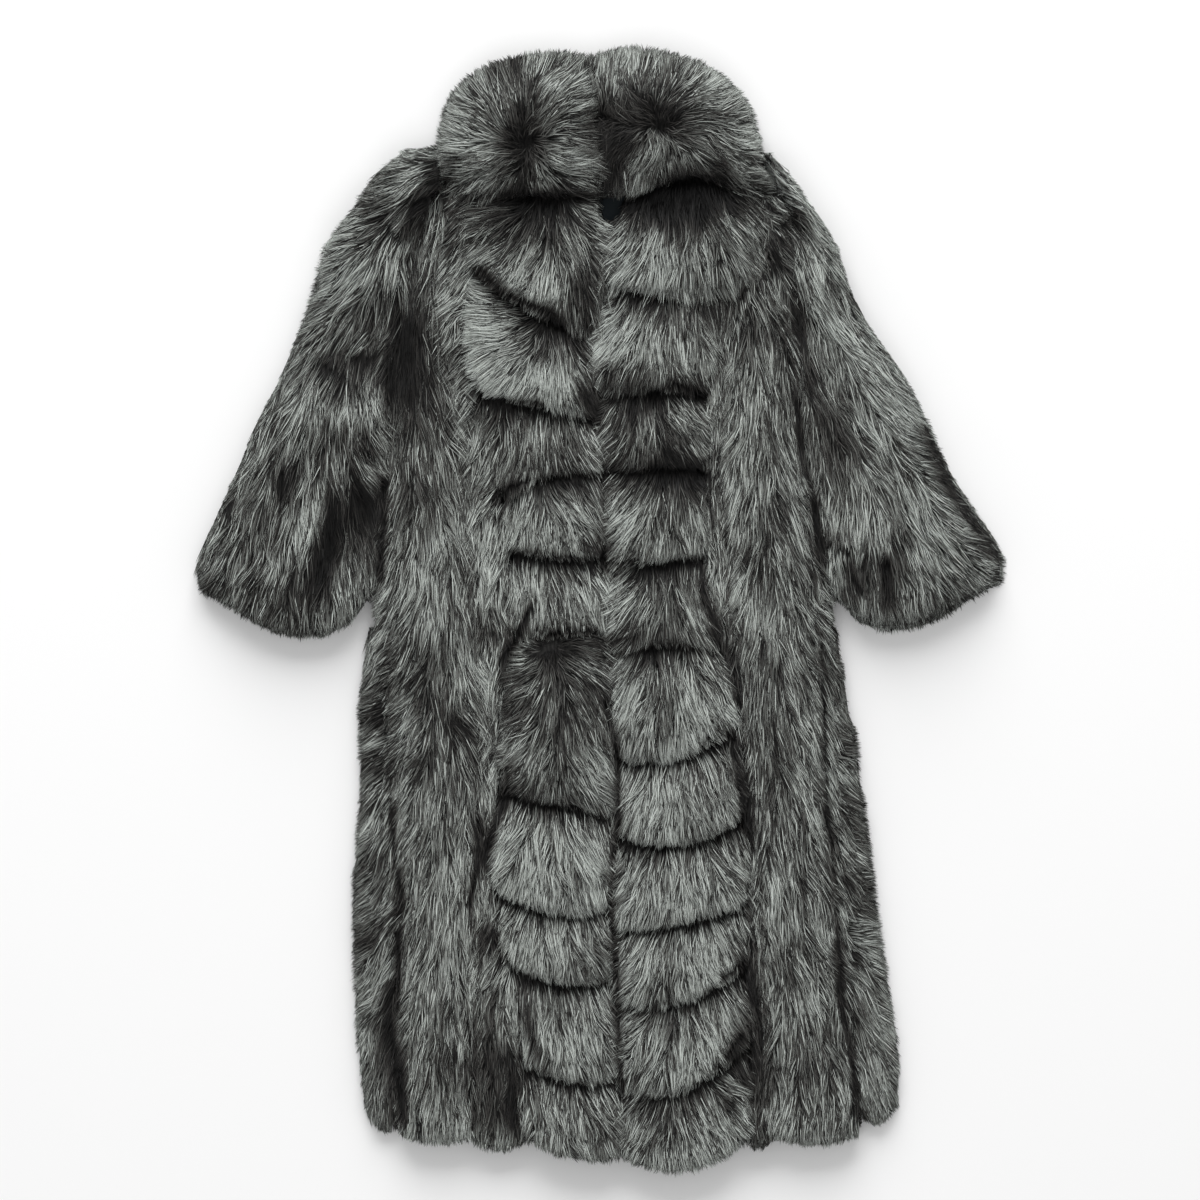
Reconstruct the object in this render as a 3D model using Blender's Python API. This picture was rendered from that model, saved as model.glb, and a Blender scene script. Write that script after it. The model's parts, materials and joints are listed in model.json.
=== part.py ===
# Full-length fox fur coat laid flat on its back: pelts cut and sewn as panels, front bands of
# stacked blocks, flattened sleeves and a deep collar.  Each solid is one pelt piece with its fur,
# out to where the guard hairs end.  Metres, +Y towards the collar, +Z up from the surface it lies on.
# Right and left are the wearer's, so the right side has the lower x.
import math

import bmesh
import bpy

# ------------------------------------------------------------------ driving sizes
SEAM_GAP = 0.0003            # clear space between neighbouring pieces
BLOCK_EASE = 0.0009          # how far a block's side stays inside its seam line
SLEEVE_EASE = 0.0010         # how far a sleeve stays clear of the body's edge
LEVEL_STEP = 0.030           # height between two rows of points up the body
LEAST_ROW = 0.002            # shortest row beside a piece's end
CREASE_ANGLE = 55            # degrees, above which two faces meet in a sharp edge

COLLAR_LINE = 0.4965         # where the fronts end and the collar starts
NECK_LOW = 0.452             # lower end of the lining that shows in the neck
BACK_LOFT = 0.016            # back pelts, their fur pressed flat
BACK_EDGE = (0.04, 0.8)      # how far in its sides round over, and the share of loft at the rim
UNDER_SLEEVE_LOFT = 0.019    # under panel of a sleeve, pressed the same way
COLLAR_LOFT = 0.088          # rolled collar, from the surface up
SLEEVE_LOFT = 0.034          # upper panel of a sleeve above the under panel
LINING_LOFT = 0.002          # lining that shows in the neck opening

FRONT_BASE = BACK_LOFT + SEAM_GAP
SLEEVE_BASE = UNDER_SLEEVE_LOFT + SEAM_GAP

# Steps across and along the top of each kind of piece.
COLUMNS = {"back": 10, "front": 6, "strip": 3, "side": 4, "block": 9, "lapel": 14,
           "sleeve_top": 11, "sleeve_under": 7, "collar": 18, "lining": 3}
ROWS = {"block": 8, "sleeve": 24, "collar": 11, "lining": 4}


def table(header, rows):
    names = header.split()
    return [dict(zip(names, row)) for row in rows]


# Seam lines of the body, one row per height: x of each line from the right side to the left.
# gore_* is also the edge of the fronts and the armhole; parting is half the neck opening.
BODY = table(
    "y       edge_r  gore_r  front_r strip_r centre  parting strip_l front_l gore_l  edge_l",
    [
        (-0.680, -0.262, -0.236, -0.148, -0.091, 0.028, 0.000, 0.177, 0.207, 0.312, 0.334),
        (-0.639, -0.268, -0.237, -0.148, -0.091, 0.027, 0.000, 0.178, 0.207, 0.312, 0.345),
        (-0.591, -0.280, -0.239, -0.148, -0.093, 0.025, 0.000, 0.182, 0.206, 0.311, 0.358),
        (-0.519, -0.287, -0.241, -0.148, -0.094, 0.020, 0.000, 0.185, 0.203, 0.305, 0.356),
        (-0.447, -0.290, -0.243, -0.149, -0.105, 0.016, 0.000, 0.177, 0.196, 0.299, 0.345),
        (-0.375, -0.291, -0.248, -0.149, -0.119, 0.015, 0.000, 0.176, 0.193, 0.293, 0.332),
        (-0.303, -0.290, -0.252, -0.147, -0.128, 0.017, 0.000, 0.177, 0.191, 0.287, 0.324),
        (-0.231, -0.283, -0.253, -0.141, -0.123, 0.020, 0.000, 0.174, 0.188, 0.281, 0.315),
        (-0.159, -0.283, -0.252, -0.136, -0.114, 0.020, 0.000, 0.167, 0.183, 0.278, 0.305),
        (-0.087, -0.282, -0.255, -0.139, -0.109, 0.017, 0.000, 0.159, 0.177, 0.278, 0.293),
        (-0.015, -0.275, -0.266, -0.147, -0.103, 0.013, 0.000, 0.141, 0.168, 0.280, 0.284),
        (0.057, -0.275, -0.265, -0.154, -0.106, 0.011, 0.000, 0.131, 0.164, 0.277, 0.284),
        (0.129, -0.275, -0.261, -0.159, -0.118, 0.009, 0.000, 0.127, 0.158, 0.262, 0.284),
        (0.189, -0.275, -0.258, -0.161, -0.131, 0.004, 0.000, 0.130, 0.153, 0.252, 0.284),
        (0.249, -0.275, -0.253, -0.167, -0.143, -0.002, 0.000, 0.130, 0.152, 0.245, 0.284),
        (0.309, -0.275, -0.247, -0.182, -0.154, -0.004, 0.000, 0.139, 0.156, 0.241, 0.284),
        (0.369, -0.275, -0.233, -0.193, -0.154, 0.004, 0.000, 0.155, 0.171, 0.238, 0.284),
        (0.429, -0.275, -0.216, -0.191, -0.149, 0.014, 0.001, 0.185, 0.197, 0.233, 0.284),
        (0.500, -0.275, -0.197, -0.181, -0.151, 0.016, 0.018, 0.197, 0.206, 0.224, 0.284),
    ],
)

# Section of the long panels: loft above the base, share of it at the outer and the inner side,
# then how far from the hem and from the top it rounds over and the share of loft at that end.
PANEL = table(
    "kind  loft   outer inner hem_reach hem_rim top_reach top_rim",
    [
        ("front", 0.029, 0.42, 0.72, 0.035, 0.50, 0.05, 0.60),
        ("strip", 0.024, 0.82, 0.82, 0.035, 0.50, 0.05, 0.70),
        ("side", 0.031, 0.30, 0.70, 0.045, 0.45, 0.05, 0.35),
    ],
)

# Lower end of each long piece: height of the hem at mid width, and how far its corners rise.
HEM = table(
    "piece  hem    arc",
    [
        ("back", -0.640, 0.006),
        ("side_r", -0.628, 0.022),
        ("front_r", -0.641, 0.010),
        ("strip_r", -0.650, 0.008),
        ("strip_l", -0.648, 0.008),
        ("front_l", -0.642, 0.012),
        ("side_l", -0.619, 0.022),
    ],
)
GORE_TOP = -0.024            # where the side gores come out from under the arms

# Creases under the blocks of each front band, from the lapel down: height at mid width, rise of
# both corners, fall from the outer to the centre edge, and the loft of the block above the crease.
BAND_R = table(
    "crease  arc    fall   loft",
    [
        (0.353, 0.015, 0.070, 0.050),
        (0.244, 0.001, 0.030, 0.047),
        (0.160, -0.015, -0.034, 0.034),
        (0.061, 0.006, 0.008, 0.040),
        (-0.031, -0.001, -0.010, 0.033),
        (-0.234, -0.001, 0.028, 0.046),
        (-0.363, 0.015, 0.013, 0.044),
        (-0.448, 0.014, 0.015, 0.039),
        (-0.566, 0.013, 0.014, 0.037),
        (-0.659, 0.010, 0.020, 0.034),
    ],
)
BAND_L = table(
    "crease  arc    fall   loft",
    [
        (0.382, 0.005, -0.004, 0.050),
        (0.264, -0.006, -0.006, 0.045),
        (0.169, -0.004, 0.004, 0.037),
        (0.058, -0.003, 0.016, 0.041),
        (-0.041, -0.010, 0.004, 0.038),
        (-0.176, 0.014, 0.028, 0.047),
        (-0.281, 0.020, 0.018, 0.042),
        (-0.377, 0.006, 0.028, 0.040),
        (-0.469, 0.015, 0.036, 0.038),
        (-0.575, 0.026, 0.050, 0.037),
        (-0.674, 0.022, 0.014, 0.033),
    ],
)
# Section of a block: share of its loft at its two sides, along its lower and its upper edge, how
# strongly it is domed, and how far towards the lower edge its crown is pushed (1 is the middle).
BLOCK = {"side": 0.66, "low": 0.62, "high": 0.42, "dome": 2.8, "crown": 0.62}
BLOCK_TUCK = 0.007           # how far a block's side draws in at its two ends
CENTRE_TUCK = 0.002          # the same along the centre line
CUFF_BEND = 4                # how late along a sleeve the cuff's curve sets in
SLEEVE_ENDS = {"shoulder": (0.10, 0.55), "cuff": (0.07, 0.50)}       # reach and share of loft
SLEEVE_RIMS = {"top": (0.36, 0.62), "under": (0.55, 0.80)}           # at the outer and inner edge

# Sleeve sections from the shoulder to the cuff: a point on the outer edge, the height where the
# section meets the body's edge, how far it stays off that edge (less than 0 beside the collar),
# and the upper panel's share of its loft.  under is how far the under panel shows past the upper.
SLEEVE_R = table(
    "outer_x outer_y inner_y clear  share under",
    [
        (-0.224, 0.549, 0.553, -0.010, 0.75, 0.000),
        (-0.261, 0.525, 0.526, -0.010, 1.15, 0.001),
        (-0.275, 0.506, 0.503, -0.010, 1.25, 0.001),
        (-0.287, 0.487, 0.4985, 0.001, 1.30, 0.002),
        (-0.325, 0.437, 0.440, 0.000, 1.10, 0.003),
        (-0.339, 0.385, 0.378, 0.000, 0.95, 0.003),
        (-0.358, 0.333, 0.318, 0.000, 0.80, 0.003),
        (-0.382, 0.275, 0.256, 0.000, 0.90, 0.003),
        (-0.409, 0.222, 0.195, 0.000, 1.05, 0.003),
        (-0.433, 0.165, 0.135, 0.000, 1.00, 0.003),
        (-0.459, 0.107, 0.085, 0.000, 0.90, 0.003),
        (-0.481, 0.054, 0.049, 0.000, 0.90, 0.003),
        (-0.475, 0.020, 0.024, 0.002, 0.85, 0.002),
    ],
)
SLEEVE_L = table(
    "outer_x outer_y inner_y clear  share under",
    [
        (0.205, 0.546, 0.545, -0.030, 0.80, 0.000),
        (0.235, 0.508, 0.508, -0.008, 0.95, 0.000),
        (0.261, 0.474, 0.470, 0.000, 1.10, 0.001),
        (0.284, 0.434, 0.428, 0.000, 1.15, 0.002),
        (0.302, 0.380, 0.366, 0.000, 1.00, 0.003),
        (0.327, 0.334, 0.310, 0.000, 0.95, 0.003),
        (0.360, 0.287, 0.250, 0.000, 0.95, 0.004),
        (0.389, 0.234, 0.190, 0.000, 0.95, 0.006),
        (0.415, 0.174, 0.132, 0.000, 0.95, 0.011),
        (0.447, 0.122, 0.087, 0.000, 1.00, 0.013),
        (0.481, 0.070, 0.047, 0.000, 1.05, 0.013),
        (0.484, 0.032, 0.020, 0.003, 0.95, 0.012),
    ],
)
CUFF_R = {"drop": 0.056, "skew": 1.40}
CUFF_L = {"drop": 0.050, "skew": 1.45}

# Collar halves: the outer edge, where it starts to round over, the top of the fold, how square the
# corner between them is, and how far the fold dips at the centre seam.
COLLAR_R = {"foot_x": -0.187, "outer_x": -0.188, "shoulder": 0.572, "crown": 0.665,
            "corner": 2.8, "dip": 0.006}
COLLAR_L = {"foot_x": 0.216, "outer_x": 0.190, "shoulder": 0.562, "crown": 0.671,
            "corner": 2.6, "dip": 0.012}
# Section of the collar: share of its loft at the centre and outer ends, at its foot and its fold,
# how strongly it is domed both ways, and how far towards the foot its crown is pushed.
COLLAR = {"centre": 0.72, "outer": 0.28, "foot": 0.55, "fold": 0.30, "across": 2.4, "up": 2.6,
          "crown": 0.85, "dip_width": 0.12}
LAPEL_RISE = {"start": 0.030, "end": 0.192, "rise": 0.025}   # left lapel pushes up into the collar
LAPEL_EASE = 0.0006          # how far a lapel stays below the collar's foot
COLLAR_SEAM = table(
    "y     x",
    [
        (0.490, 0.004),
        (0.530, -0.001),
        (0.580, -0.007),
        (0.630, -0.010),
        (0.680, -0.010),
    ],
)

# Largest folds: a ridge (rise over 0) or a trough along a straight run, with its half width.
FOLDS = table(
    "piece  x0      y0     x1      y1     width  rise",
    [
        ("sleeve_r", -0.228, 0.535, -0.222, 0.468, 0.020, 0.014),
        ("sleeve_r", -0.262, 0.500, -0.228, 0.440, 0.011, -0.013),
        ("sleeve_r", -0.300, 0.450, -0.262, 0.400, 0.030, 0.008),
        ("sleeve_r", -0.350, 0.382, -0.232, 0.350, 0.012, -0.012),
        ("sleeve_r", -0.318, 0.300, -0.262, 0.292, 0.020, -0.009),
        ("sleeve_r", -0.350, 0.238, -0.290, 0.236, 0.022, 0.008),
        ("sleeve_r", -0.345, 0.190, -0.362, 0.118, 0.012, -0.009),
        ("sleeve_r", -0.345, 0.140, -0.352, 0.080, 0.016, 0.008),
        ("sleeve_r", -0.270, 0.128, -0.308, 0.060, 0.017, -0.015),
        ("sleeve_l", 0.232, 0.458, 0.252, 0.440, 0.012, -0.016),
        ("sleeve_l", 0.300, 0.420, 0.262, 0.370, 0.022, 0.006),
        ("sleeve_l", 0.240, 0.362, 0.322, 0.198, 0.016, -0.012),
        ("sleeve_l", 0.300, 0.330, 0.395, 0.150, 0.028, 0.007),
        ("sleeve_l", 0.272, 0.062, 0.358, 0.094, 0.012, 0.010),
        ("sleeve_l", 0.300, 0.036, 0.352, 0.040, 0.014, -0.010),
        ("front_r", -0.232, 0.300, -0.225, 0.215, 0.020, -0.007),
        ("front_r", -0.215, 0.140, -0.200, -0.040, 0.018, 0.004),
        ("front_r", -0.185, -0.070, -0.178, -0.160, 0.022, -0.006),
        ("front_r", -0.215, -0.180, -0.200, -0.420, 0.020, 0.004),
        ("front_r", -0.170, -0.440, -0.182, -0.600, 0.016, -0.005),
        ("front_l", 0.205, 0.270, 0.190, 0.080, 0.018, 0.004),
        ("front_l", 0.228, 0.020, 0.222, -0.100, 0.020, -0.006),
        ("front_l", 0.205, -0.160, 0.222, -0.400, 0.018, 0.004),
        ("front_l", 0.262, -0.330, 0.268, -0.520, 0.016, -0.004),
        ("front_l", 0.236, -0.480, 0.246, -0.620, 0.018, 0.004),
        ("collar_r", -0.120, 0.600, -0.075, 0.560, 0.030, -0.006),
        ("collar_l", 0.105, 0.615, 0.125, 0.575, 0.030, -0.006),
    ],
)

# Pelt colours: linear base colour and roughness.
PELTS = {
    "silver": ((0.115, 0.120, 0.118), 0.62),
    "dusk": ((0.072, 0.070, 0.068), 0.66),
    "lining": ((0.012, 0.024, 0.028), 0.38),
}


# ------------------------------------------------------------------ curves through the tables
def follow(rows, key, value, at):
    """Smooth curve through one column of a table whose key column rises."""
    keys = [row[key] for row in rows]
    values = [row[value] for row in rows]
    at = min(max(at, keys[0]), keys[-1])
    spot = max(i for i in range(len(keys) - 1) if keys[i] <= at)
    span = keys[spot + 1] - keys[spot]
    t = (at - keys[spot]) / span

    def slope(i):
        low = max(i - 1, 0)
        high = min(i + 1, len(keys) - 1)
        return (values[high] - values[low]) / (keys[high] - keys[low]) * span

    start = values[spot] * (2 * t**3 - 3 * t**2 + 1) + slope(spot) * (t**3 - 2 * t**2 + t)
    return start + values[spot + 1] * (3 * t**2 - 2 * t**3) + slope(spot + 1) * (t**3 - t**2)


def body_levels():
    first = BODY[0]["y"]
    count = math.ceil((BODY[-1]["y"] - first) / LEVEL_STEP)
    return [first + (BODY[-1]["y"] - first) * i / count for i in range(count + 1)]


LEVELS = body_levels()


def seam(name, y):
    """x of a body seam: straight between two levels, so that neighbours share it exactly."""
    spot = max([i for i in range(len(LEVELS) - 1) if LEVELS[i] <= y] or [0])
    t = (y - LEVELS[spot]) / (LEVELS[spot + 1] - LEVELS[spot])
    low = follow(BODY, "y", name, LEVELS[spot])
    high = follow(BODY, "y", name, LEVELS[spot + 1])
    return low + (high - low) * t


def arch(t, rim_start, rim_end, power=2.6):
    """Dome over 0..1 that stands on a rim at each end."""
    rim = rim_start + (rim_end - rim_start) * t
    return rim + (1 - rim) * (1 - abs(2 * t - 1) ** power)


def end_round(distance, reach, rim):
    """Quarter round over the last stretch before an end."""
    t = min(1.0, max(0.0, distance / reach))
    return rim + (1 - rim) * math.sqrt(1 - (1 - t) ** 2)


def fold(piece, x, y):
    """Sum of the folds that cross a point of a piece."""
    total = 0.0
    for row in FOLDS:
        if row["piece"] != piece:
            continue
        dx = row["x1"] - row["x0"]
        dy = row["y1"] - row["y0"]
        along = ((x - row["x0"]) * dx + (y - row["y0"]) * dy) / (dx * dx + dy * dy)
        along = min(1.0, max(0.0, along))
        off = math.hypot(x - row["x0"] - along * dx, y - row["y0"] - along * dy)
        total += row["rise"] * math.exp(-((off / row["width"]) ** 2))
    return total


# ------------------------------------------------------------------ one closed piece
def pelt_material(kind):
    colour, roughness = PELTS[kind]
    material = bpy.data.materials.new(kind)
    material.use_nodes = True
    shader = material.node_tree.nodes["Principled BSDF"]
    shader.inputs["Base Color"].default_value = (*colour, 1.0)
    shader.inputs["Roughness"].default_value = roughness
    shader.inputs["Metallic"].default_value = 0.0
    return material


def pillow(name, kind, base, across, along, place, rise):
    """A piece with a flat foot at height base, upright sides and a shaped top.

    across and along list the steps 0..1 over the piece, place gives x and y, rise the height.
    """
    shape = bmesh.new()
    grid = []
    for v in along:
        line = []
        for u in across:
            x, y = place(u, v)
            line.append(shape.verts.new((x, y, base + rise(u, v, x, y))))
        grid.append(line)
    for lower, upper in zip(grid, grid[1:]):
        for i in range(len(across) - 1):
            shape.faces.new((lower[i], lower[i + 1], upper[i + 1], upper[i]))
    right = [line[-1] for line in grid[1:-1]]
    left = [line[0] for line in grid[1:-1]]
    ring = grid[0] + right + grid[-1][::-1] + left[::-1]
    foot = [shape.verts.new((vert.co.x, vert.co.y, base)) for vert in ring]
    for i in range(len(ring)):
        after = (i + 1) % len(ring)
        shape.faces.new((ring[i], foot[i], foot[after], ring[after]))
    shape.faces.new(foot[::-1])
    bmesh.ops.recalc_face_normals(shape, faces=shape.faces)
    mesh = bpy.data.meshes.new(name)
    shape.to_mesh(mesh)
    shape.free()
    mesh.shade_smooth()
    mesh.set_sharp_from_angle(angle=math.radians(CREASE_ANGLE))
    mesh.materials.append(pelt_material(kind))
    piece = bpy.data.objects.new(name, mesh)
    bpy.context.collection.objects.link(piece)
    return piece


def steps(count):
    return [i / count for i in range(count + 1)]


# ------------------------------------------------------------------ long panels of the body
def long_panel(name, kind, base, left, right, hem, arc, top, columns, rise):
    """Panel between two seam lines, from its curved hem up to the height top."""
    inner = [y for y in LEVELS if hem + arc + LEAST_ROW < y < top - LEAST_ROW]

    def place(u, v):
        if v == 0:
            y = hem + arc * abs(2 * u - 1) ** 2.5
        else:
            y = (inner + [top])[v - 1]
        x0 = seam(left, y) + SEAM_GAP / 2
        x1 = seam(right, y) - SEAM_GAP / 2
        return x0 + (x1 - x0) * u, y

    return pillow(name, kind, base, steps(columns), range(len(inner) + 2), place, rise)


def hem_of(piece):
    row = next(row for row in HEM if row["piece"] == piece)
    return row["hem"], row["arc"]


def make_back():
    def rise(u, v, x, y):
        return BACK_LOFT * end_round(min(u, 1 - u), *BACK_EDGE)

    edges = ("gore_r", "gore_l")
    long_panel("back", "dusk", 0.0, *edges, *hem_of("back"), COLLAR_LINE, COLUMNS["back"], rise)


def make_panels(kind, pelt, base, top, edges):
    """One kind of long panel on both sides; edges names its outer and its inner seam line."""
    shape = next(row for row in PANEL if row["kind"] == kind)
    for side in ("r", "l"):
        name = f"{kind}_{side}"
        hem, arc = hem_of(name)

        def rise(u, v, x, y):
            outward = 1 - u if side == "l" else u
            height = shape["loft"] * arch(outward, shape["outer"], shape["inner"])
            height *= end_round(y - hem, shape["hem_reach"], shape["hem_rim"])
            height *= end_round(top - y, shape["top_reach"], shape["top_rim"])
            return height + fold(name, x, y)

        seams = [f"{edge}_{side}" for edge in edges]
        if side == "l":
            seams.reverse()
        long_panel(name, pelt, base, *seams, hem, arc, top, COLUMNS[kind], rise)


# ------------------------------------------------------------------ front bands
def centre(side, y):
    """Front edge of one side: the centre line, parted at the neck."""
    away = -1 if side == "r" else 1
    return seam("centre", y) + away * (seam("parting", y) + SEAM_GAP / 2)


def collar_foot(side, x):
    """Level of the collar's lower edge: straight, but the left lapel pushes up into it."""
    span = LAPEL_RISE["end"] - LAPEL_RISE["start"]
    along = (x - LAPEL_RISE["start"]) / span
    if side == "r" or not 0 < along < 1:
        return COLLAR_LINE
    return COLLAR_LINE + LAPEL_RISE["rise"] * math.sin(math.pi * along) ** 2


def meet_collar(side, across):
    """Height at which a column, whose x at height y is across(y), meets the collar's foot."""
    y = COLLAR_LINE
    for _ in range(6):
        y = collar_foot(side, across(y))
    return y


def band_block(name, side, upper, lower):
    """One horizontal pelt between two creases; it rises to its rounded lower edge."""
    def crease(row, u):
        outward = 1 - u if side == "r" else u
        return row["crease"] + row["arc"] * (2 * u - 1) ** 2 + row["fall"] * (outward - 0.5)

    def across(u, tuck, y):
        outer = BLOCK_EASE + BLOCK_TUCK * tuck
        inner = BLOCK_EASE + CENTRE_TUCK * tuck
        if side == "r":
            x0, x1 = seam("strip_r", y) + outer, centre(side, y) - inner
        else:
            x0, x1 = centre(side, y) + inner, seam("strip_l", y) - outer
        return x0 + (x1 - x0) * u

    def place(u, v):
        low = crease(lower, u) + SEAM_GAP / 2
        if upper is None:
            high = meet_collar(side, lambda y: across(u, 1.0, y)) - LAPEL_EASE
        else:
            high = crease(upper, u) - SEAM_GAP / 2
        y = low + (high - low) * v
        return across(u, (2 * v - 1) ** 4, y), y

    def rise(u, v, x, y):
        upward = arch(v ** BLOCK["crown"], BLOCK["low"], BLOCK["high"], BLOCK["dome"])
        return lower["loft"] * arch(u, BLOCK["side"], BLOCK["side"]) * upward

    columns = COLUMNS["block"] if upper else COLUMNS["lapel"]
    pillow(name, "silver", FRONT_BASE, steps(columns), steps(ROWS["block"]), place, rise)


def make_bands():
    for side, rows in (("r", BAND_R), ("l", BAND_L)):
        for number, (upper, lower) in enumerate(zip([None] + rows, rows), start=1):
            band_block(f"band_{side}_{number:02d}", side, upper, lower)


# ------------------------------------------------------------------ sleeves
def sleeve_panel(name, side, rows, cuff, base, loft, upper):
    """Upper or under panel of a sleeve, from the shoulder (0) to the curved cuff (1)."""
    out = -1 if side == "r" else 1
    sections = [dict(row, step=i / (len(rows) - 1)) for i, row in enumerate(rows)]

    def place(u, v):
        inner_y = follow(sections, "step", "inner_y", v)
        inner_x = seam("gore_" + side, min(inner_y, COLLAR_LINE))
        clear = follow(sections, "step", "clear", v)
        if inner_y < COLLAR_LINE:
            clear = max(0.0, clear)
        inner_x += out * (SLEEVE_EASE + clear)
        reach = follow(sections, "step", "under", v) if upper else 0.0
        outer_x = follow(sections, "step", "outer_x", v) - out * reach
        outer_y = follow(sections, "step", "outer_y", v)
        curve = 1 - abs(2 * u ** cuff["skew"] - 1) ** 2.4
        drop = (cuff["drop"] - reach) * curve * v**CUFF_BEND
        return outer_x + (inner_x - outer_x) * u, outer_y + (inner_y - outer_y) * u - drop

    def rise(u, v, x, y):
        ends = end_round(v, *SLEEVE_ENDS["shoulder"]) * end_round(1 - v, *SLEEVE_ENDS["cuff"])
        if not upper:
            return loft * arch(u, *SLEEVE_RIMS["under"]) * ends
        share = follow(sections, "step", "share", v)
        folds = fold("sleeve_" + side, x, y)
        return (loft * share * arch(u, *SLEEVE_RIMS["top"]) + folds) * ends

    columns = COLUMNS["sleeve_top"] if upper else COLUMNS["sleeve_under"]
    pillow(name, "silver", base, steps(columns), steps(ROWS["sleeve"]), place, rise)


def make_sleeves():
    for side, rows, cuff in (("r", SLEEVE_R, CUFF_R), ("l", SLEEVE_L, CUFF_L)):
        name = "sleeve_" + side
        sleeve_panel(name + "_under", side, rows, cuff, 0.0, UNDER_SLEEVE_LOFT, False)
        sleeve_panel(name + "_top", side, rows, cuff, SLEEVE_BASE, SLEEVE_LOFT, True)


# ------------------------------------------------------------------ collar and neck
def make_collar():
    for side, size in (("r", COLLAR_R), ("l", COLLAR_L)):
        name = "collar_" + side
        away = -1 if side == "r" else 1

        def across(off, v, y):
            middle = follow(COLLAR_SEAM, "y", "x", y) + away * SEAM_GAP / 2
            edge = size["outer_x"] + (size["foot_x"] - size["outer_x"]) * (1 - v) ** 2
            return middle + (edge - middle) * off

        def place(u, v):
            off = 1 - u if side == "r" else u
            bulge = size["crown"] - size["shoulder"]
            top = size["shoulder"] + bulge * math.sqrt(max(0.0, 1 - off ** size["corner"]))
            top -= size["dip"] * math.exp(-((off / COLLAR["dip_width"]) ** 2))
            low = meet_collar(side, lambda y: across(off, 0.0, y)) + SEAM_GAP
            y = low + (top - low) * v
            return across(off, v, y), y

        def rise(u, v, x, y):
            off = 1 - u if side == "r" else u
            height = arch(off, COLLAR["centre"], COLLAR["outer"], COLLAR["across"])
            height *= arch(v ** COLLAR["crown"], COLLAR["foot"], COLLAR["fold"], COLLAR["up"])
            return COLLAR_LOFT * height + fold(name, x, y)

        rows = steps(ROWS["collar"])
        pillow(name, "silver", 0.0, steps(COLUMNS["collar"]), rows, place, rise)


def make_neck_lining():
    high = COLLAR_LINE - SEAM_GAP

    def place(u, v):
        y = NECK_LOW + (high - NECK_LOW) * v
        x0 = centre("r", y) + SEAM_GAP
        x1 = centre("l", y) - SEAM_GAP
        return x0 + (x1 - x0) * u, y

    def rise(u, v, x, y):
        return LINING_LOFT

    columns, rows = steps(COLUMNS["lining"]), steps(ROWS["lining"])
    pillow("neck_lining", "lining", FRONT_BASE, columns, rows, place, rise)


# ------------------------------------------------------------------ whole coat
def centre_on_origin():
    """Put the middle of the coat's outline over the origin, its flat back at height 0."""
    pieces = [item for item in bpy.data.objects if item.type == "MESH"]
    xs = [vert.co.x for piece in pieces for vert in piece.data.vertices]
    ys = [vert.co.y for piece in pieces for vert in piece.data.vertices]
    shift_x = (min(xs) + max(xs)) / 2
    shift_y = (min(ys) + max(ys)) / 2
    for piece in pieces:
        for vert in piece.data.vertices:
            vert.co.x -= shift_x
            vert.co.y -= shift_y
    print("coat centred by", round(shift_x, 4), round(shift_y, 4))


def main():
    for item in list(bpy.data.objects):
        bpy.data.objects.remove(item, do_unlink=True)
    make_back()
    make_panels("side", "dusk", 0.0, GORE_TOP, ("edge", "gore"))
    make_panels("front", "silver", FRONT_BASE, COLLAR_LINE, ("gore", "front"))
    make_panels("strip", "silver", FRONT_BASE, COLLAR_LINE, ("front", "strip"))
    make_bands()
    make_sleeves()
    make_collar()
    make_neck_lining()
    centre_on_origin()


main()
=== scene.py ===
import json
import math

import bpy
import numpy as np
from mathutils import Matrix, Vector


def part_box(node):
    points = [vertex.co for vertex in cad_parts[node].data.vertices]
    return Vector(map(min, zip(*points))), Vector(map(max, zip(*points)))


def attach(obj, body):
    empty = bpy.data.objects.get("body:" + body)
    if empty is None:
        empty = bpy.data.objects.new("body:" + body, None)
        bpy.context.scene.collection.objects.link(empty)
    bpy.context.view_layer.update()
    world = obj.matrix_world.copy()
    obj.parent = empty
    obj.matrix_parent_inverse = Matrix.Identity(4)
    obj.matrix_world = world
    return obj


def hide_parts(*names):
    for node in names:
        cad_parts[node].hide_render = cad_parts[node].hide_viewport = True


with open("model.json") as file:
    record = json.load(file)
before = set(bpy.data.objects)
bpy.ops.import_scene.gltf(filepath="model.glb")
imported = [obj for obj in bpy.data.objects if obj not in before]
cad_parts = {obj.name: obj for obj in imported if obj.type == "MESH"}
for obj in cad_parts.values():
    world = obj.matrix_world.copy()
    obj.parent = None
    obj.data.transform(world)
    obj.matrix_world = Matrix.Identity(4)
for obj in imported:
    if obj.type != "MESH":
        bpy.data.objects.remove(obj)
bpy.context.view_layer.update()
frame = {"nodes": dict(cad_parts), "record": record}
rng = np.random.default_rng(20)
print("frame loaded:", len(frame["nodes"]), "pieces")


# camera, floor and light
cameraPlan = {
    "lens": 340.0,               # mm, long, so that the raised collar keeps its size
    "sensor": 36.0,
    "seenWidth": 1.44,           # metres across the picture, at the height below
    "furHeight": 0.025,
    "aim": (0.0001, 0.0114),
    "clipEnd": 100.0,
}
floorPlan = {
    "size": 14.0, "level": -0.0006,
    "colour": (0.90, 0.90, 0.90, 1.0), "roughness": 0.9, "specular": 0.5,
}
lightPlan = {
    "keyAt": (-0.4, 6.8, 4.0), "keySize": 6.4, "keyPower": 730.0,
    "fillAt": (0.0, -2.0, 5.0), "fillSize": 4.0, "fillPower": 44.0,
    "sky": 0.50,
}


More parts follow.
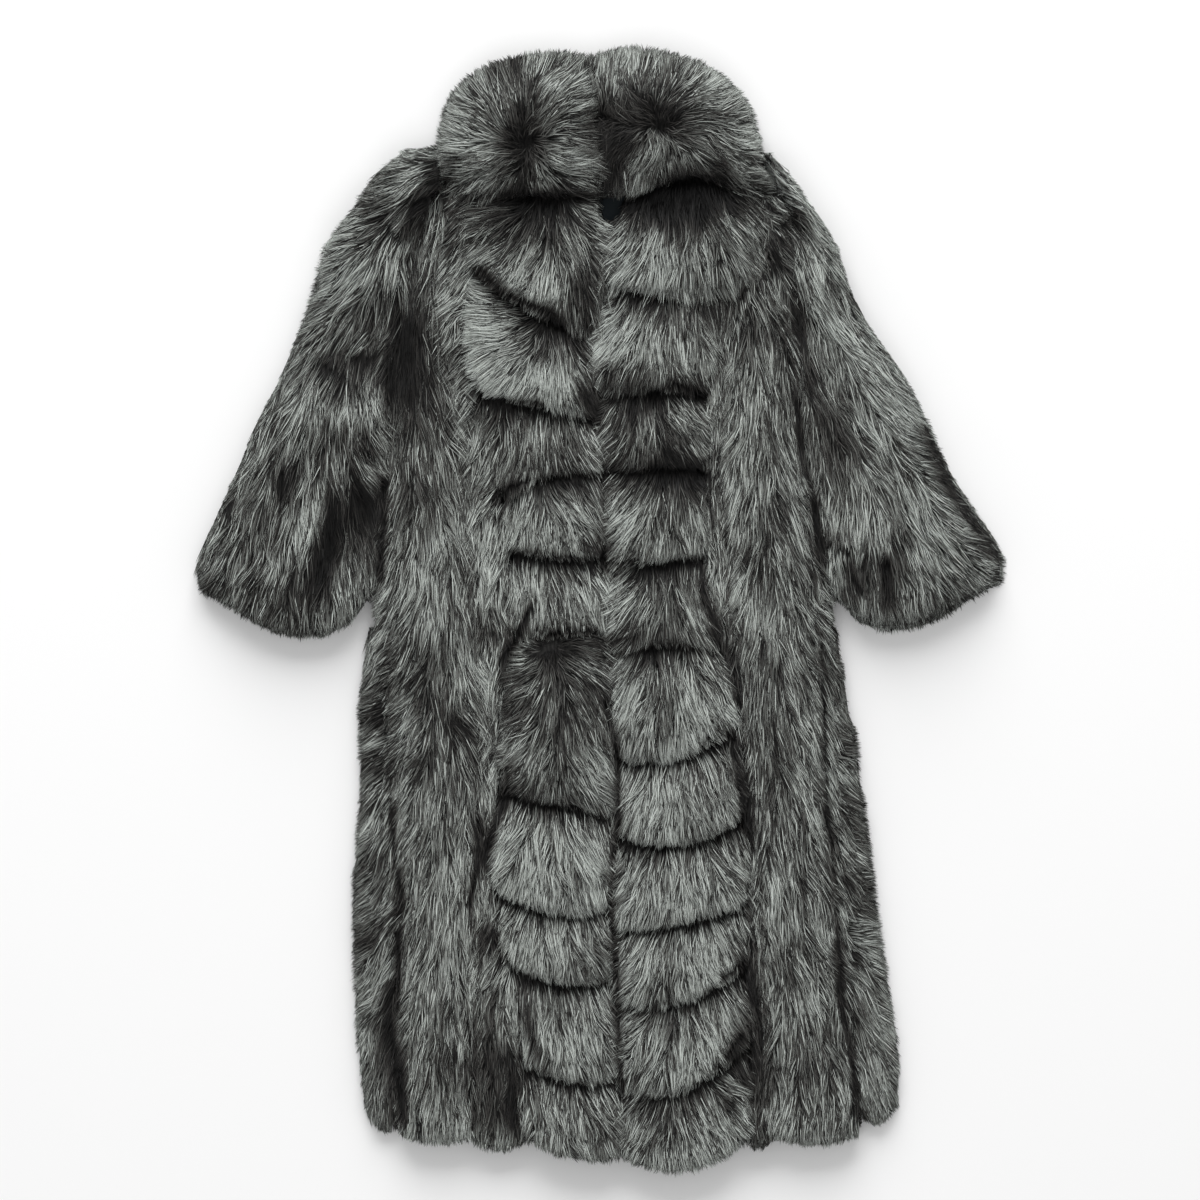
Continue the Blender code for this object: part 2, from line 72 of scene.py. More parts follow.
def makeCamera(plan):
    bpy.ops.object.camera_add()
    camera = bpy.context.object
    camera.name = "camera"
    camera.data.lens = plan["lens"]
    camera.data.sensor_width = plan["sensor"]
    away = plan["seenWidth"] * plan["lens"] / plan["sensor"]
    camera.location = (*plan["aim"], away + plan["furHeight"])
    camera.data.clip_end = plan["clipEnd"]
    bpy.context.scene.camera = camera


def makeMaterial(name, look):
    material = bpy.data.materials.new(name)
    material.use_nodes = True
    shader = material.node_tree.nodes["Principled BSDF"]
    shader.inputs["Roughness"].default_value = look["roughness"]
    shader.inputs["Specular IOR Level"].default_value = look["specular"]
    if "colour" in look:
        shader.inputs["Base Color"].default_value = look["colour"]
    return material


def makeFloor(plan):
    bpy.ops.mesh.primitive_plane_add(size=plan["size"], location=(0, 0, plan["level"]))
    floor = bpy.context.object
    floor.name = "floor"
    floor.data.materials.append(makeMaterial("paleFloor", plan))


def softBox(name, place, size, power):
    bpy.ops.object.light_add(type="AREA", location=place)
    lamp = bpy.context.object
    lamp.name = name
    lamp.data.size = size
    lamp.data.energy = power
    aim = -lamp.location
    lamp.rotation_euler = aim.to_track_quat("-Z", "Y").to_euler()


def makeLight(plan):
    softBox("keyLight", plan["keyAt"], plan["keySize"], plan["keyPower"])
    softBox("fillLight", plan["fillAt"], plan["fillSize"], plan["fillPower"])
    world = bpy.data.worlds.new("studio")
    world.use_nodes = True
    sky = world.node_tree.nodes["Background"]
    sky.inputs["Color"].default_value = (1, 1, 1, 1)
    sky.inputs["Strength"].default_value = plan["sky"]
    bpy.context.scene.world = world
    bpy.context.scene.view_settings.view_transform = "Standard"


makeCamera(cameraPlan)
makeFloor(floorPlan)
makeLight(lightPlan)
print("camera, floor and light set")


# hair colour: one group for all furs, tone picks the hair and along runs root to tip
toneStops = [
    # how silver the hair is, and its colour in full light
    (0.00, (0.006, 0.006, 0.006)),
    (0.20, (0.019, 0.018, 0.017)),
    (0.40, (0.062, 0.059, 0.055)),
    (0.60, (0.153, 0.158, 0.147)),
    (0.80, (0.338, 0.361, 0.336)),
    (1.00, (0.690, 0.737, 0.695)),
]
alongStops = [
    # root to tip: how much of that colour shows
    (0.00, 0.05),
    (0.30, 0.18),
    (0.55, 0.70),
    (0.85, 1.00),
    (1.00, 0.85),
]
furLook = {"roughness": 0.55, "specular": 0.14}
peltLook = {
    "roughness": 0.85, "specular": 0.12,
    "scale": (420, 60, 200),     # finer across the coat than along it
    "stops": [(0.30, (0.004, 0.004, 0.004)), (0.75, (0.030, 0.029, 0.028))],
}
satinLook = {"colour": (0.004, 0.009, 0.012, 1.0), "roughness": 0.5, "specular": 0.15}


def rampNode(nodes, stops):
    ramp = nodes.new("ShaderNodeValToRGB")
    elements = ramp.color_ramp.elements
    while len(elements) < len(stops):
        elements.new(0.5)
    for element, (place, colour) in zip(elements, stops):
        element.position = place
        element.color = (*colour, 1.0)
    return ramp


def makeHairGroup():
    group = bpy.data.node_groups.new("hairColour", "ShaderNodeTree")
    for name in ("Tone", "Along"):
        given = group.interface.new_socket(name, in_out="INPUT", socket_type="NodeSocketFloat")
        given.default_value = 0.5
    group.interface.new_socket("Colour", in_out="OUTPUT", socket_type="NodeSocketColor")
    nodes, links = group.nodes, group.links
    given = nodes.new("NodeGroupInput")
    result = nodes.new("NodeGroupOutput")
    kind = rampNode(nodes, toneStops)
    shade = rampNode(nodes, [(place, (value,) * 3) for place, value in alongStops])
    links.new(given.outputs["Tone"], kind.inputs["Fac"])
    links.new(given.outputs["Along"], shade.inputs["Fac"])
    blend = nodes.new("ShaderNodeMix")
    blend.data_type = "RGBA"
    blend.blend_type = "MULTIPLY"
    blend.inputs["Factor"].default_value = 1.0
    # sockets 6, 7 and 2 are the colour ones of this node: A, B and the result
    links.new(kind.outputs["Color"], blend.inputs[6])
    links.new(shade.outputs["Color"], blend.inputs[7])
    links.new(blend.outputs[2], result.inputs["Colour"])
    return group


def furMaterial():
    material = makeMaterial("foxHair", furLook)
    nodes, links = material.node_tree.nodes, material.node_tree.links
    ownMap = nodes.new("ShaderNodeUVMap")
    ownMap.uv_map = "OFBake"
    split = nodes.new("ShaderNodeSeparateXYZ")
    colour = nodes.new("ShaderNodeGroup")
    colour.node_tree = hairGroup
    links.new(ownMap.outputs["UV"], split.inputs["Vector"])
    links.new(split.outputs["X"], colour.inputs["Tone"])
    links.new(split.outputs["Y"], colour.inputs["Along"])
    links.new(colour.outputs["Colour"], nodes["Principled BSDF"].inputs["Base Color"])
    return material


def peltMaterial():
    material = makeMaterial("underfur", peltLook)
    nodes, links = material.node_tree.nodes, material.node_tree.links
    place = nodes.new("ShaderNodeTexCoord")
    stretch = nodes.new("ShaderNodeMapping")
    stretch.inputs["Scale"].default_value = peltLook["scale"]
    strands = nodes.new("ShaderNodeTexNoise")
    strands.inputs["Scale"].default_value = 1.0
    ramp = rampNode(nodes, peltLook["stops"])
    links.new(place.outputs["Object"], stretch.inputs["Vector"])
    links.new(stretch.outputs["Vector"], strands.inputs["Vector"])
    links.new(strands.outputs["Fac"], ramp.inputs["Fac"])
    links.new(ramp.outputs["Color"], nodes["Principled BSDF"].inputs["Base Color"])
    return material


hairGroup = makeHairGroup()
furSkin = furMaterial()
underfur = peltMaterial()
print("materials made")


# the groom, given for each piece: guide hairs, and the lines where the fur parts and painted crease
# shade lies
# each guide: across and up from the coat's middle (mm), way in degrees from straight down,
# and how silver the fur is there, 0 to 9, which also holds painted shade near the creases and painted
# light where a block rounds up to the light
guides = {
    "collar_r": [
        (-174, 605, -125, 6), (-182, 563, -105, 6), (-183, 518, -62, 6), (-165, 491, -60, 4),
        (-150, 629, -145, 5), (-132, 587, -130, 5), (-144, 551, -100, 6), (-144, 511, -58, 5),
        (-114, 641, -165, 2), (-120, 611, -140, 4), (-96, 623, 175, 3), (-66, 653, 175, 6),
        (-34, 657, 160, 5), (-48, 629, 120, 6), (-78, 611, 150, 3), (-66, 590, 105, 4),
        (-30, 599, 110, 5), (-20, 629, 140, 5), (-48, 563, 95, 5), (-24, 563, 95, 4),
        (-30, 533, 80, 7), (-60, 533, 65, 6), (-66, 513, 55, 6), (-86, 515, 10, 3),
        (-110, 518, -40, 3), (-120, 500, -42, 2), (-84, 496, 0, 1), (-48, 497, 60, 1),
        (-96, 581, -150, 2), (-84, 575, 140, 2), (-102, 551, -100, 2), (-84, 545, 20, 2),
        (-168, 503, -50, 6), (-192, 506, -55, 6), (-102, 539, -70, 3),
    ],
    "collar_l": [
        (-10, 647, 180, 3), (6, 657, 180, 5), (30, 659, 178, 6), (54, 653, 175, 5), (66, 641, 172, 5),
        (84, 647, 160, 4), (108, 647, 148, 6), (132, 633, 128, 6), (156, 617, 108, 7),
        (170, 593, 95, 6), (178, 563, 88, 6), (162, 545, 75, 5), (138, 575, 80, 4), (120, 599, 95, 5),
        (96, 611, 130, 3), (72, 617, 165, 3), (78, 592, 160, 1), (108, 590, 100, 2), (102, 569, 55, 3),
        (120, 551, 60, 4), (144, 530, 65, 2), (108, 539, 25, 5), (90, 545, 8, 6), (66, 551, -5, 6),
        (54, 563, -20, 5), (50, 533, -25, 7), (36, 503, -22, 5), (26, 488, -20, 3), (72, 518, -8, 4),
        (108, 521, 10, 2), (30, 563, -60, 1), (26, 545, 0, 2), (6, 551, -10, 1), (4, 521, -3, 1),
        (0, 501, 0, 0), (14, 602, 178, 3), (2, 573, -6, 2), (36, 609, 172, 2), (26, 626, 178, 4),
        (-2, 623, -178, 3), (54, 590, -120, 2),
    ],
    "band_r_01": [
        (-58, 485, 0, 1), (-96, 491, -80, 1), (-126, 477, -70, 2), (-144, 449, -60, 4),
        (-120, 437, -45, 3), (-132, 417, -50, 7), (-106, 401, -38, 8), (-96, 443, -40, 3),
        (-78, 425, -28, 5), (-62, 386, -20, 8), (-72, 455, -25, 3), (-54, 443, -8, 2),
        (-41, 410, -12, 4), (-34, 417, 8, 5), (-38, 443, 20, 4), (-24, 383, 15, 2), (-4, 401, 25, 3),
        (0, 359, 5, 3), (-18, 431, 40, 5), (6, 431, 60, 5), (0, 461, 65, 7), (-24, 479, 70, 6),
        (-36, 465, 50, 4), (-18, 341, 5, 3), (-12, 497, 80, 3),
    ],
    "band_l_01": [
        (66, 501, -5, 0), (86, 477, 0, 0), (120, 476, 10, 0), (90, 460, 0, 2), (60, 485, -5, 0),
        (108, 491, 5, 0), (108, 518, 0, 0), (42, 473, -50, 3), (24, 449, -45, 6), (26, 425, -40, 8),
        (42, 407, -30, 8), (60, 437, -22, 7), (78, 413, -8, 8), (102, 425, 2, 6), (120, 437, 12, 5),
        (126, 401, 10, 6), (150, 407, 20, 5), (144, 461, 35, 5), (162, 491, 55, 3), (180, 497, 50, 5),
        (180, 473, 48, 6), (174, 437, 35, 5), (162, 515, 70, 1), (132, 497, 25, 1), (22, 467, -60, 5),
    ],
    "band_r_02": [
        (-53, 345, 0, 1), (-84, 357, -95, 2), (-114, 365, -105, 5), (-144, 365, -105, 8),
        (-144, 341, -92, 9), (-120, 335, -88, 9), (-90, 338, -85, 5), (-138, 311, -70, 9),
        (-114, 293, -50, 9), (-96, 311, -55, 6), (-78, 317, -40, 4), (-120, 275, -45, 9),
        (-96, 269, -30, 9), (-72, 281, -12, 9), (-66, 311, -12, 3), (-48, 275, 5, 9), (-46, 311, 8, 3),
        (-24, 287, 25, 6), (-26, 317, 35, 3), (-6, 317, 60, 5), (-6, 293, 45, 5), (-10, 269, 30, 2),
        (-30, 335, 40, 2),
    ],
    "band_l_02": [
        (48, 374, -30, 3), (24, 365, -50, 5), (6, 335, -48, 7), (6, 309, -42, 9), (30, 323, -38, 7),
        (38, 293, -25, 6), (54, 335, -20, 6), (66, 311, -5, 7), (78, 353, 0, 4), (90, 317, 8, 5),
        (108, 335, 20, 5), (108, 293, 20, 6), (126, 311, 30, 5), (134, 347, 15, 3), (6, 278, -25, 3),
        (36, 269, -10, 2), (84, 275, 5, 5), (108, 263, 20, 2),
    ],
    "band_r_03": [
        (-118, 233, -22, 3), (-98, 203, -8, 5), (-120, 185, -20, 4), (-72, 215, -2, 6),
        (-72, 179, -3, 4), (-48, 221, 12, 4), (-30, 227, 30, 6), (-12, 215, 38, 6), (-42, 191, 20, 3),
        (-30, 185, 30, 3), (-10, 185, 35, 5), (-96, 239, 0, 3), (-12, 245, 20, 1), (-84, 251, 0, 1),
    ],
    "band_l_03": [
        (42, 257, 0, 1), (18, 245, -50, 4), (6, 221, -55, 5), (24, 215, -40, 4), (38, 227, -20, 2),
        (54, 215, -3, 5), (66, 197, 5, 4), (58, 251, 5, 2), (72, 239, 30, 2), (90, 245, 50, 6),
        (108, 221, 45, 6), (120, 197, 45, 4), (96, 203, 35, 4), (78, 185, 30, 0), (108, 173, 30, 0),
        (126, 161, 20, 0), (72, 167, 0, 0), (48, 173, -30, 2), (12, 185, -50, 3), (18, 161, -40, 1),
    ],
    "band_r_04": [
        (-84, 158, 0, 2), (-102, 149, -30, 3), (-112, 125, -30, 6), (-108, 95, -25, 7),
        (-90, 113, -10, 7), (-72, 107, -2, 6), (-78, 83, -5, 7), (-54, 113, 12, 6), (-48, 143, 25, 3),
        (-34, 149, 35, 2), (-36, 119, 28, 7), (-18, 113, 33, 7), (-12, 143, 40, 5), (0, 119, 30, 6),
        (-30, 83, 22, 6), (-6, 77, 25, 3), (-54, 83, 8, 7),
    ],
    "band_l_04": [
        (72, 158, 0, 0), (48, 149, -40, 3), (24, 143, -50, 5), (14, 113, -50, 7), (30, 95, -45, 8),
        (48, 113, -40, 7), (66, 125, -22, 5), (60, 89, -15, 5), (66, 71, -10, 6), (78, 107, -2, 3),
        (86, 95, 5, 4), (96, 125, 20, 4), (108, 101, 18, 6), (114, 77, 15, 6), (114, 143, 30, 1),
        (18, 71, -40, 7), (36, 65, -30, 4),
    ],
    "band_r_05": [
        (-96, 53, -3, 5), (-96, 23, -3, 7), (-72, 35, 2, 6), (-60, 11, 8, 6), (-54, -13, 5, 5),
        (-78, -7, 0, 7), (-30, 41, 20, 6), (-18, 23, 22, 8), (-12, -1, 15, 6), (-30, -7, 5, 5),
        (-48, 41, 8, 5), (-12, 53, 25, 7),
    ],
    "band_l_05": [
        (72, 50, 0, 2), (48, 41, -35, 3), (18, 29, -55, 7), (18, 5, -52, 7), (12, -19, -48, 6),
        (42, 11, -45, 6), (60, 23, -20, 4), (60, -13, -12, 5), (78, 11, 0, 3), (90, -7, 8, 4),
        (96, 23, 20, 5), (110, -1, 30, 6), (120, -19, 35, 5), (102, -31, 25, 4), (84, -37, 0, 2),
        (24, -37, -40, 3), (42, -27, -25, 3),
    ],
    "band_r_06": [
        (-60, -55, 0, 2), (-90, -46, -100, 5), (-106, -61, -80, 4), (-84, -67, -75, 5),
        (-102, -85, -62, 3), (-84, -97, -60, 5), (-66, -85, -30, 4), (-66, -37, -160, 2),
        (-42, -37, 120, 2), (-24, -43, 80, 2), (-18, -61, 70, 5), (0, -67, 45, 4), (-36, -63, 60, 3),
        (-30, -85, 38, 4), (-12, -97, 35, 3), (6, -109, 25, 2), (-48, -97, 5, 3), (-54, -121, -10, 4),
        (-78, -127, -50, 4), (-102, -123, -60, 1), (-108, -145, -60, 4), (-72, -157, -30, 4),
        (-42, -133, 5, 2), (-24, -127, 20, 3), (0, -139, 25, 4), (14, -169, 20, 4), (-24, -163, 25, 3),
        (-102, -169, -60, 7), (-78, -187, -35, 7), (-102, -199, -50, 5), (-114, -207, -30, 3),
        (-60, -193, -15, 5), (-46, -187, 0, 3), (-36, -178, 55, 3), (-18, -181, 45, 7),
        (0, -199, 40, 8), (12, -217, 40, 7), (-24, -211, 45, 6), (-30, -223, 35, 3),
        (-66, -217, -15, 5), (-84, -223, -15, 3),
    ],
    "band_l_06": [
        (72, -43, -5, 2), (48, -61, -30, 4), (22, -67, -45, 6), (14, -97, -42, 7), (18, -127, -35, 8),
        (42, -109, -28, 7), (54, -133, -15, 5), (66, -85, -15, 6), (78, -61, 0, 3), (78, -109, -3, 4),
        (78, -145, 5, 4), (96, -73, 12, 6), (108, -109, 20, 7), (120, -61, 35, 6), (138, -97, 35, 6),
        (138, -127, 38, 9), (108, -145, 20, 9), (90, -157, 20, 8), (48, -157, -10, 6),
        (24, -151, -15, 6), (146, -142, 30, 6),
    ],
    "band_r_07": [
        (-66, -235, -3, 4), (-96, -235, -25, 6), (-114, -247, -40, 7), (-120, -277, -42, 9),
        (-132, -307, -35, 9), (-120, -331, -22, 8), (-102, -301, -30, 8), (-90, -259, -30, 6),
        (-72, -277, -8, 7), (-72, -319, -3, 8), (-48, -265, 8, 6), (-42, -301, 12, 7),
        (-30, -271, 22, 7), (-18, -301, 30, 9), (-12, -259, 28, 6), (6, -283, 30, 7), (0, -325, 25, 8),
        (-30, -337, 12, 6), (-60, -343, 0, 8), (0, -243, 30, 2),
    ],
    "band_l_07": [
        (36, -175, -15, 5), (30, -199, -35, 7), (26, -229, -35, 8), (48, -217, -28, 8),
        (60, -187, -15, 7), (66, -235, -10, 8), (78, -205, -3, 7), (96, -193, 8, 7), (102, -229, 8, 6),
        (120, -187, 18, 6), (126, -217, 22, 6), (144, -181, 20, 6), (146, -211, 30, 6),
        (162, -229, 30, 6), (150, -247, 30, 6), (78, -259, 0, 8), (48, -259, -12, 7),
        (120, -259, 12, 6),
    ],
    "band_r_08": [
        (-108, -367, -25, 6), (-108, -397, -25, 7), (-90, -421, -10, 8), (-72, -391, -3, 7),
        (-54, -367, 3, 5), (-48, -409, 5, 8), (-30, -385, 15, 6), (-12, -367, 35, 6),
        (-12, -397, 35, 5), (6, -385, 40, 6), (6, -415, 35, 4), (-24, -427, 20, 5), (-60, -433, 0, 7),
    ],
    "band_l_08": [
        (36, -289, -30, 5), (26, -313, -40, 7), (30, -343, -40, 8), (48, -325, -25, 7),
        (60, -295, -10, 6), (66, -349, -12, 7), (78, -319, -3, 6), (90, -289, 5, 5),
        (102, -325, 10, 6), (108, -355, 8, 8), (126, -313, 20, 7), (144, -301, 32, 7),
        (156, -325, 35, 7), (138, -349, 20, 8), (48, -367, -15, 7), (150, -277, 30, 5),
    ],
    "band_r_09": [
        (-66, -457, 0, 5), (-72, -487, -3, 6), (-66, -517, -5, 8), (-48, -475, 3, 5),
        (-48, -511, 5, 6), (-30, -481, 15, 6), (-36, -541, 8, 8), (-12, -469, 25, 6),
        (-12, -517, 25, 8), (6, -493, 30, 6), (6, -535, 30, 6), (-60, -541, -3, 7), (-12, -553, 20, 5),
    ],
    "band_l_09": [
        (36, -391, -45, 6), (34, -421, -48, 7), (42, -451, -42, 7), (60, -397, -20, 6),
        (62, -427, -25, 8), (78, -409, -3, 6), (84, -439, 0, 5), (102, -403, 5, 7), (108, -433, 15, 8),
        (126, -391, 8, 8), (132, -427, 25, 8), (150, -379, 25, 7), (162, -397, 30, 5),
        (108, -457, 20, 7), (72, -457, -8, 4),
    ],
    "band_r_10": [
        (-90, -577, -5, 5), (-84, -613, -5, 7), (-78, -637, 0, 6), (-60, -577, 0, 6),
        (-54, -613, 3, 7), (-36, -589, 8, 6), (-30, -637, 15, 6), (-18, -577, 20, 6),
        (-6, -613, 25, 5), (0, -589, 30, 6), (18, -601, 30, 5), (-18, -655, 20, 6), (0, -643, 20, 4),
        (24, -637, 15, 4),
    ],
    "band_l_10": [
        (36, -475, -50, 6), (36, -505, -50, 8), (38, -541, -40, 8), (60, -481, -35, 5),
        (66, -517, -25, 7), (78, -469, -5, 4), (84, -499, -5, 5), (86, -541, -5, 7),
        (102, -481, 10, 5), (108, -517, 10, 6), (126, -475, 25, 6), (126, -529, 15, 8),
        (144, -505, 25, 8), (156, -469, 35, 7), (162, -505, 35, 6), (138, -457, 20, 6),
        (48, -562, -20, 5),
    ],
    "band_l_11": [
        (48, -583, -35, 5), (48, -613, -35, 5), (54, -643, -25, 6), (72, -577, -10, 4),
        (74, -613, -15, 3), (72, -649, -8, 5), (96, -589, 5, 4), (102, -625, 10, 4), (96, -655, 10, 7),
        (120, -577, 30, 5), (126, -613, 30, 7), (138, -589, 40, 6), (144, -571, 60, 6),
        (138, -625, 30, 7), (120, -643, 25, 8), (108, -571, 20, 3),
    ],
    "strip_r": [
        (-156, 443, -40, 3), (-168, 407, -35, 5), (-180, 371, -42, 6), (-174, 335, -40, 6),
        (-162, 305, -35, 4), (-156, 269, -35, 5), (-146, 239, -25, 5), (-150, 209, -25, 6),
        (-156, 167, -20, 6), (-146, 131, -20, 5), (-144, 95, -12, 6), (-144, 59, -10, 7),
        (-138, 23, -5, 6), (-132, -7, 0, 5), (-138, -25, -10, 2), (-114, -7, 20, 4), (-146, -49, 0, 6),
        (-132, -85, 0, 7), (-132, -121, -8, 6), (-138, -157, -20, 5), (-132, -193, -5, 6),
        (-138, -229, 8, 6), (-146, -265, 5, 5), (-150, -313, 5, 4), (-146, -361, -8, 5),
        (-138, -397, -20, 2), (-138, -427, -28, 7), (-144, -469, -18, 8), (-114, -469, 5, 6),
        (-132, -505, -3, 7), (-108, -505, 3, 5), (-132, -541, -5, 4), (-102, -541, 5, 2),
        (-138, -577, -5, 5), (-126, -613, -8, 5), (-108, -601, 0, 1), (-108, -643, -10, 5),
    ],
    "front_r": [
        (-210, 449, -10, 5), (-204, 419, -8, 5), (-198, 389, -3, 3), (-210, 371, 0, 3),
        (-234, 338, -10, 0), (-237, 293, -3, 0), (-234, 266, 0, 0), (-254, 317, -25, 2),
        (-204, 329, 20, 2), (-192, 293, 25, 2), (-180, 257, 32, 4), (-210, 263, 12, 2),
        (-246, 233, -12, 2), (-228, 215, -3, 2), (-210, 221, 10, 3), (-192, 215, 22, 3),
        (-174, 197, 30, 5), (-246, 191, -15, 4), (-234, 167, 0, 2), (-210, 173, 12, 3),
        (-186, 155, 22, 4), (-249, 143, -22, 4), (-228, 131, -18, 3), (-210, 131, 0, 2),
        (-186, 125, 20, 3), (-173, 155, 15, 5), (-252, 95, -25, 5), (-228, 101, -20, 4),
        (-210, 101, 10, 2), (-200, 77, 0, 6), (-177, 95, 5, 8), (-165, 77, 10, 6), (-246, 59, -28, 6),
        (-216, 59, -20, 5), (-192, 41, 0, 5), (-168, 41, 10, 5), (-252, 23, -30, 6),
        (-222, 17, -25, 5), (-192, 5, -3, 6), (-162, 11, 12, 5), (-246, -7, -30, 6),
        (-204, -13, -5, 7), (-174, -25, 5, 4), (-240, -37, -42, 5), (-216, -55, -30, 2),
        (-192, -61, 0, 3), (-174, -55, 5, 4), (-156, -67, 25, 6), (-246, -73, -50, 5),
        (-222, -91, -45, 3), (-192, -91, 0, 3), (-162, -97, 35, 6), (-147, -85, 30, 8),
        (-240, -109, -50, 6), (-210, -115, -35, 1), (-186, -127, 10, 2), (-168, -133, 45, 2),
        (-156, -121, 45, 6), (-240, -145, -48, 6), (-216, -151, -30, 5), (-186, -157, 0, 4),
        (-162, -151, 15, 3), (-246, -175, -42, 5), (-222, -187, -30, 4), (-198, -187, -8, 3),
        (-168, -193, 8, 4), (-234, -223, -30, 6), (-204, -229, -12, 5), (-180, -229, 2, 4),
        (-162, -241, 8, 5), (-234, -265, -28, 6), (-204, -271, -12, 5), (-174, -271, 3, 5),
        (-234, -307, -25, 6), (-204, -313, -12, 4), (-174, -319, 0, 6), (-228, -355, -30, 5),
        (-204, -361, -15, 6), (-174, -361, 3, 6), (-234, -409, -25, 4), (-204, -409, -15, 5),
        (-168, -409, 8, 6), (-228, -457, -25, 6), (-198, -457, -8, 5), (-168, -463, 8, 5),
        (-228, -505, -25, 5), (-192, -511, 0, 4), (-162, -505, 3, 5), (-222, -553, -18, 4),
        (-183, -553, 5, 2), (-162, -553, 8, 4), (-216, -589, -12, 5), (-174, -589, 10, 5),
        (-216, -625, -8, 6), (-174, -625, 5, 6), (-268, 5, -50, 5), (-268, -7, -45, 5),
        (-263, 15, -45, 4),
    ],
    "side_r": [
        (-266, -25, -15, 4), (-274, -67, -25, 5), (-276, -109, -65, 4), (-266, -127, -70, 1),
        (-276, -157, -65, 5), (-270, -187, -50, 2), (-270, -217, -30, 5), (-276, -247, -60, 4),
        (-258, -247, -20, 4), (-274, -277, -40, 6), (-258, -289, -15, 2), (-278, -313, -60, 4),
        (-276, -337, -55, 5), (-252, -337, -10, 2), (-282, -367, -70, 4), (-258, -367, -60, 4),
        (-282, -403, -60, 2), (-252, -403, -15, 6), (-282, -433, -45, 6), (-249, -433, -20, 7),
        (-270, -457, -50, 6), (-282, -481, -50, 6), (-264, -493, -20, 4), (-282, -523, -25, 6),
        (-264, -553, -8, 2), (-278, -565, -12, 5), (-258, -589, 0, 4), (-270, -607, -10, 5),
        (-246, -601, 15, 2), (-252, -505, -5, 0),
    ],
    "side_l": [
        (264, 11, 25, 2), (270, -37, 40, 2), (282, -85, 40, 3), (276, -121, 30, 5), (288, -163, 75, 3),
        (288, -199, 42, 6), (300, -229, 60, 3), (282, -253, 25, 3), (312, -265, 80, 3),
        (278, -283, 15, 9), (312, -313, 75, 5), (298, -337, 30, 3), (322, -355, 85, 3),
        (306, -385, 85, 7), (326, -409, 80, 6), (300, -427, 20, 3), (330, -451, 50, 5),
        (300, -463, 10, 8), (314, -481, 30, 3), (342, -493, 45, 7), (324, -523, 30, 6),
        (348, -535, 40, 5), (314, -559, 10, 5), (336, -571, 30, 7), (322, -595, 10, 5),
        (348, -589, 30, 5), (294, -493, 5, 1),
    ],
    "strip_l": [
        (150, 371, 0, 2), (154, 347, -5, 5), (142, 317, 5, 5), (134, 281, 5, 6), (138, 251, 3, 6),
        (134, 215, 3, 6), (138, 179, 3, 5), (134, 143, -3, 4), (138, 107, 5, 4), (134, 77, 5, 5),
        (138, 41, 8, 7), (146, 11, 5, 6), (150, -25, 0, 4), (156, -61, 5, 3), (160, -109, 0, 3),
        (162, -145, 0, 3), (166, -181, 5, 1), (174, -229, 0, 1), (174, -277, 0, 1), (174, -313, 20, 3),
        (178, -349, 25, 5), (174, -385, 20, 2), (180, -421, 15, 4), (174, -451, 10, 2),
        (182, -481, 25, 4), (180, -523, 5, 2), (182, -565, 0, 3), (192, -601, 5, 4),
        (168, -613, 10, 3), (174, -637, -20, 3), (162, -589, 20, 2),
    ],
    "front_l": [
        (204, 473, 48, 5), (192, 449, 45, 6), (174, 419, 38, 4), (210, 431, 35, 2), (198, 401, 25, 3),
        (180, 389, 20, 2), (204, 371, 25, 5), (174, 365, 5, 2), (190, 341, 5, 2), (168, 329, -10, 2),
        (210, 335, 20, 3), (162, 305, -25, 5), (180, 299, -5, 4), (204, 293, 10, 5), (222, 293, 15, 4),
        (156, 257, -20, 6), (178, 263, -8, 5), (194, 257, 3, 6), (214, 251, 20, 4), (158, 215, -28, 6),
        (186, 215, -8, 4), (210, 203, 18, 4), (228, 203, 22, 4), (156, 173, -25, 7),
        (174, 167, -15, 5), (194, 155, -3, 5), (222, 155, 28, 6), (240, 155, 28, 5),
        (162, 119, -18, 6), (182, 125, -8, 5), (204, 113, 20, 3), (228, 119, 28, 5), (162, 83, -22, 7),
        (186, 77, -15, 4), (210, 77, 10, 4), (240, 77, 25, 5), (162, 47, -35, 6), (174, 59, -25, 2),
        (194, 41, 0, 3), (222, 41, 15, 4), (246, 35, 25, 3), (168, 11, -35, 6), (198, 5, -3, 4),
        (228, 5, 15, 5), (192, -19, -5, 7), (222, -25, 12, 6), (162, -37, -12, 5), (246, -37, 30, 5),
        (192, -55, -3, 4), (240, -61, 40, 5), (168, -91, -12, 4), (202, -97, 0, 3), (234, -97, 28, 4),
        (258, -97, 30, 5), (168, -139, -25, 5), (198, -139, 0, 3), (228, -133, 25, 4),
        (252, -151, 30, 6), (168, -181, -22, 5), (198, -187, 0, 4), (228, -181, 18, 4),
        (254, -193, 32, 6), (180, -223, -10, 5), (216, -223, 8, 4), (252, -229, 28, 6),
        (186, -277, -8, 5), (222, -271, 10, 4), (264, -277, 28, 5), (186, -325, -8, 6),
        (210, -325, 5, 6), (246, -307, 28, 4), (270, -325, 25, 5), (198, -373, -5, 6),
        (228, -373, 8, 5), (264, -379, 15, 6), (198, -421, -5, 5), (222, -421, 10, 4),
        (252, -415, 40, 5), (276, -415, 45, 5), (204, -469, -12, 5), (228, -451, 5, 3),
        (258, -469, 15, 6), (282, -469, 15, 5), (210, -511, -12, 5), (240, -517, 0, 4),
        (270, -511, 20, 4), (294, -529, 20, 4), (222, -559, -8, 4), (252, -559, 3, 3),
        (288, -571, 12, 5), (216, -601, -12, 6), (252, -601, 0, 5), (288, -607, 0, 5),
        (258, -637, 0, 6), (275, 11, 50, 5), (276, -3, 45, 5), (271, 17, 45, 4),
    ],
    "sleeve_r": [
